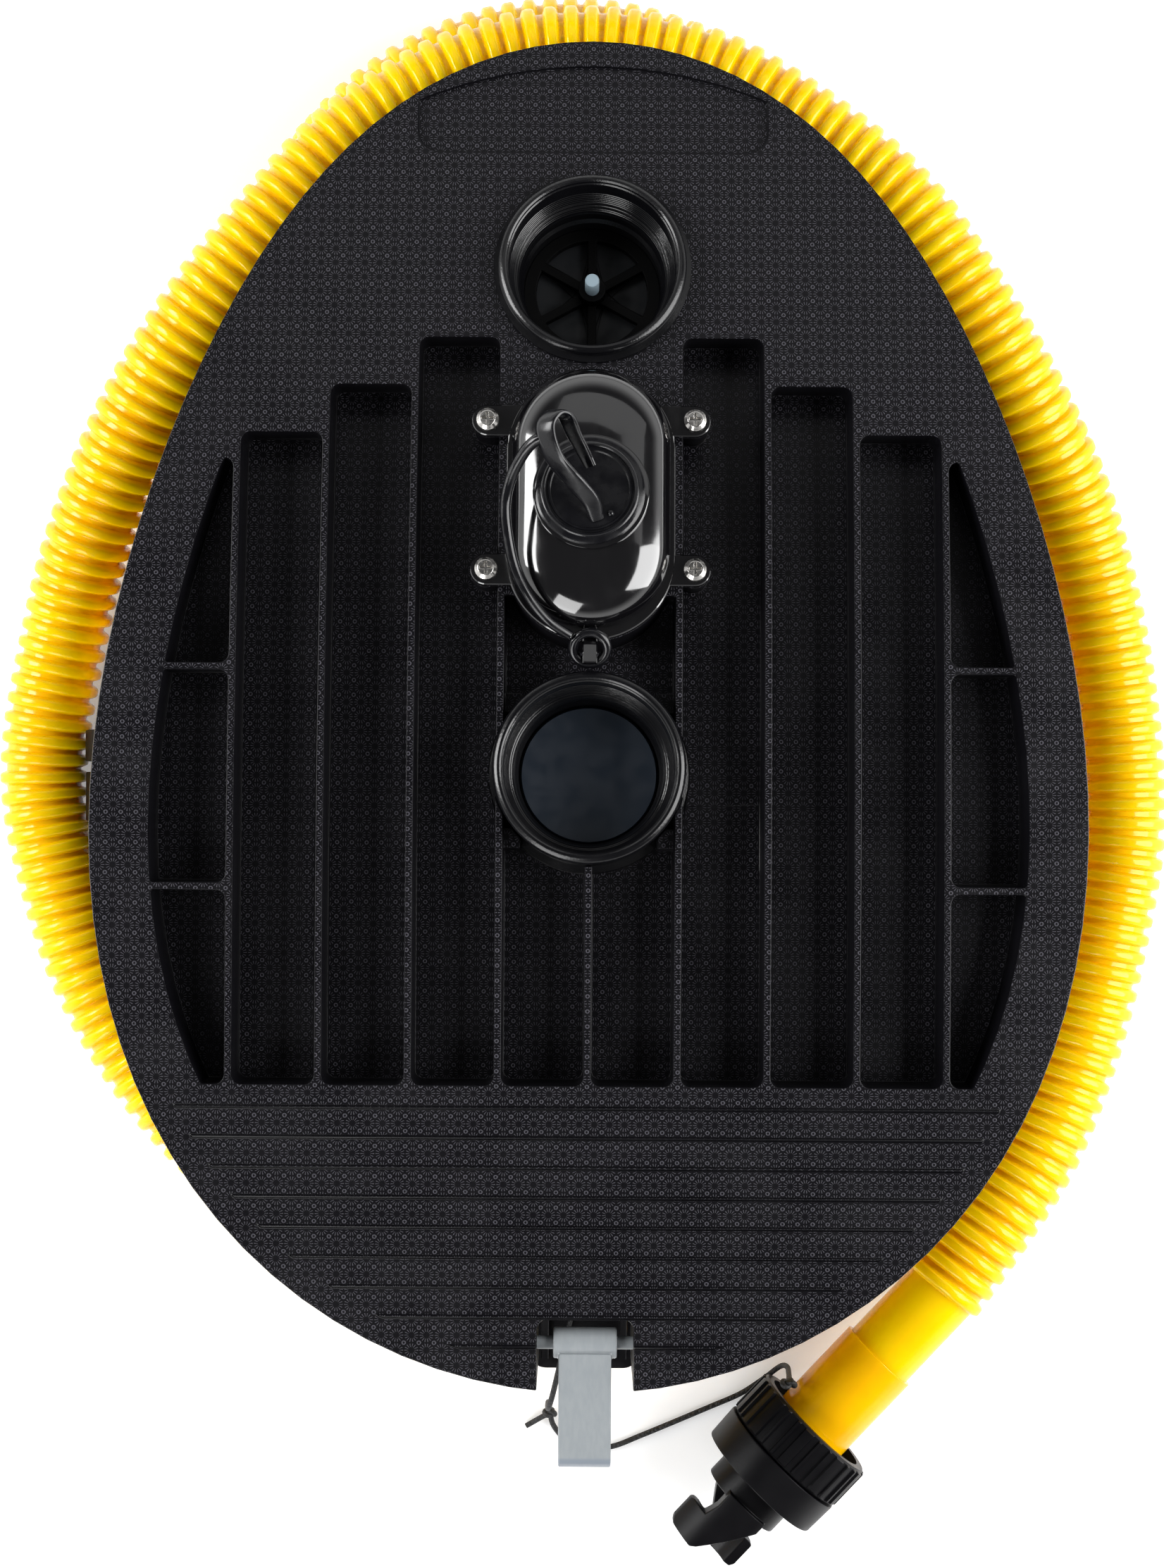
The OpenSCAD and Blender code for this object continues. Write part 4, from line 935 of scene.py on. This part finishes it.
def make_bellows(name, node, ring, crest, valley, top):
    """Pleated fabric wall whose folds run between the insets crest and valley."""
    folds, steps, wall = 5, 8, 1.4
    stops = []
    for k in range(folds * steps + 1):
        inset = (crest + valley) / 2 - (valley - crest) / 2 * math.cos(2 * math.pi * k / steps)
        stops.append((inset, RING_TOP_Z + (top - RING_TOP_Z) * k / (folds * steps)))
    outside = [ring(inset, z) for inset, z in stops]
    inside = [ring(inset + wall, z) for inset, z in stops]
    points, faces = ring_solid(outside + inside[::-1])
    piece = add_piece(name, points, faces, CLOTH, 60)
    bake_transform(piece)
    stand_for(piece, node, rides=False)


def make_spring():
    """Conical wire coil that stretches between the lower board and its cup."""
    turns, per_turn, wire = 6, 32, 1.1
    low_r, high_r = 25.0, 20.5
    low, high = SPRING_Z[0] + wire, SPRING_Z[1] - wire
    steps = turns * per_turn
    curve = []
    for k in range(steps + 1):
        a = 2 * math.pi * k / per_turn
        r = low_r + (high_r - low_r) * k / steps
        curve.append(Vector((r * math.cos(a), SPRING_Y + r * math.sin(a), low + (high - low) * k / steps)))
    points, faces = tube(curve, wire, 10, steps)
    piece = add_piece("wire_spring", points, faces, SPRING)
    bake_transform(piece)
    stand_for(piece, "return_spring", rides=False)


# --- Knots of the lanyard ----------------------------------------------------------------
def knot(centre, size):
    """Overhand knot: one cord along a trefoil."""
    steps = 96
    curve = []
    for k in range(steps + 1):
        a = 2 * math.pi * k / steps
        curve.append(Vector(centre) + size * Vector((
            math.sin(a) + 2 * math.sin(2 * a), -math.sin(3 * a), math.cos(a) - 2 * math.cos(2 * a))))
    return tube(curve, 0.75, 10, steps)


def make_knots():
    """Knots at both ends of the lanyard, the left one with its cut tail."""
    tail = spline([(-10.4, -197.4, 2.4), (-12.5, -198.6, 1.8), (-15.0, -200.2, 1.2), (-17.0, -201.4, 1.1)])
    points, faces = joined(knot((-10, -197, 2.6), 0.55), knot((57.9, -181, 29), 0.65),
                           tube(tail, LANYARD_R, 12, 12))
    piece = add_piece("overhand_knots", points, faces, CORD)
    stand_for(piece, "lanyard_knots")
    return piece


# --- Rigid pieces ------------------------------------------------------------------------
def shorten_apron(catch):
    """Draws the front edge of the catch's apron back to where the upper board's edge hides it."""
    half_x, low_z = 13.7, 24.0  # the apron's half width, and the height above which it lies
    kept_y, kept_share = -172.0, 0.36  # behind kept_y it stays, and in front that share of it is kept
    for vertex in catch.data.vertices:
        x, y, z = vertex.co / MM
        if abs(x) < half_x and y < kept_y and z > low_z:
            vertex.co.y = (kept_y + (y - kept_y) * kept_share) * MM


# What each CAD node is made of, and how far its edges are rounded
SURFACES = {
    "bottom_board": (SATIN, 0.5), "base_feet": (FOOT, 0.5), "stop_caps": (FOOT, 0.4),
    "latch_catch": (SATIN, 0.3), "catch_screws": (STEEL, 0.2), "hinge_pin": (STEEL, 0.2),
    "bellows_base_ring": (DULL, 0.3), "base_ring_screws": (STEEL, 0.2), "inner_base_ring": (DULL, 0.3),
    "bellows_lid_ring": (DULL, 0.3), "lid_ring_screws": (STEEL, 0.2), "inner_lid_ring": (DULL, 0.3),
    "spring_cup": (DULL, 0.3), "inlet_valve_seat": (SHADED_SEAT, 0.25), "outlet_valve_seat": (SHADED_SEAT, 0.25),
    "cover_gasket": (FOOT, 0.15), "stage_valve": (DISC, 0.2), "adapter_seal": (FOOT, 0.2),
    "valve_adapter": (SATIN, 0.4), "pump_end_plug": (SATIN, 0.4), "latch": (GREY, 0.5),
    "latch_pin": (GREY, 0.3), "hose_cuff": (CUFF, 0.2), "hose_tail_cuff": (CUFF, 0.2),
    "cover_screws": (STEEL, 0.15), "tether_ring": (RUBBER, 0.1)}
pieces = {node: dressed(node, width, surface) for node, (surface, width) in SURFACES.items()}
pieces["top_board"] = dressed("top_board", 0.4, BOARD, merge=0.35, on_board=True)
make_port("inlet_port", AT_INLET, 0, 20)
make_port("outlet_port", AT_OUTLET, -12.8, 28)
make_intake_valve()
make_outlet_valve()
make_cover()
make_plug()
make_tether()
make_bellows("pleated_bellows", "outer_bellows", egg_ring, 24, 31, OUTER_TOP_Z)
make_bellows("small_bellows", "inner_bellows", round_ring, 0, 5, INNER_TOP_Z)
make_spring()
shorten_apron(pieces["latch_catch"])
pieces["coupling_ring"] = make_coupling_ring()
pieces["lanyard_knots"] = make_knots()

[p * MM for p in hose_curve]
[p * MM for p in lanyard_curve]

bpy.context.scene.view_settings.view_transform = "Standard"
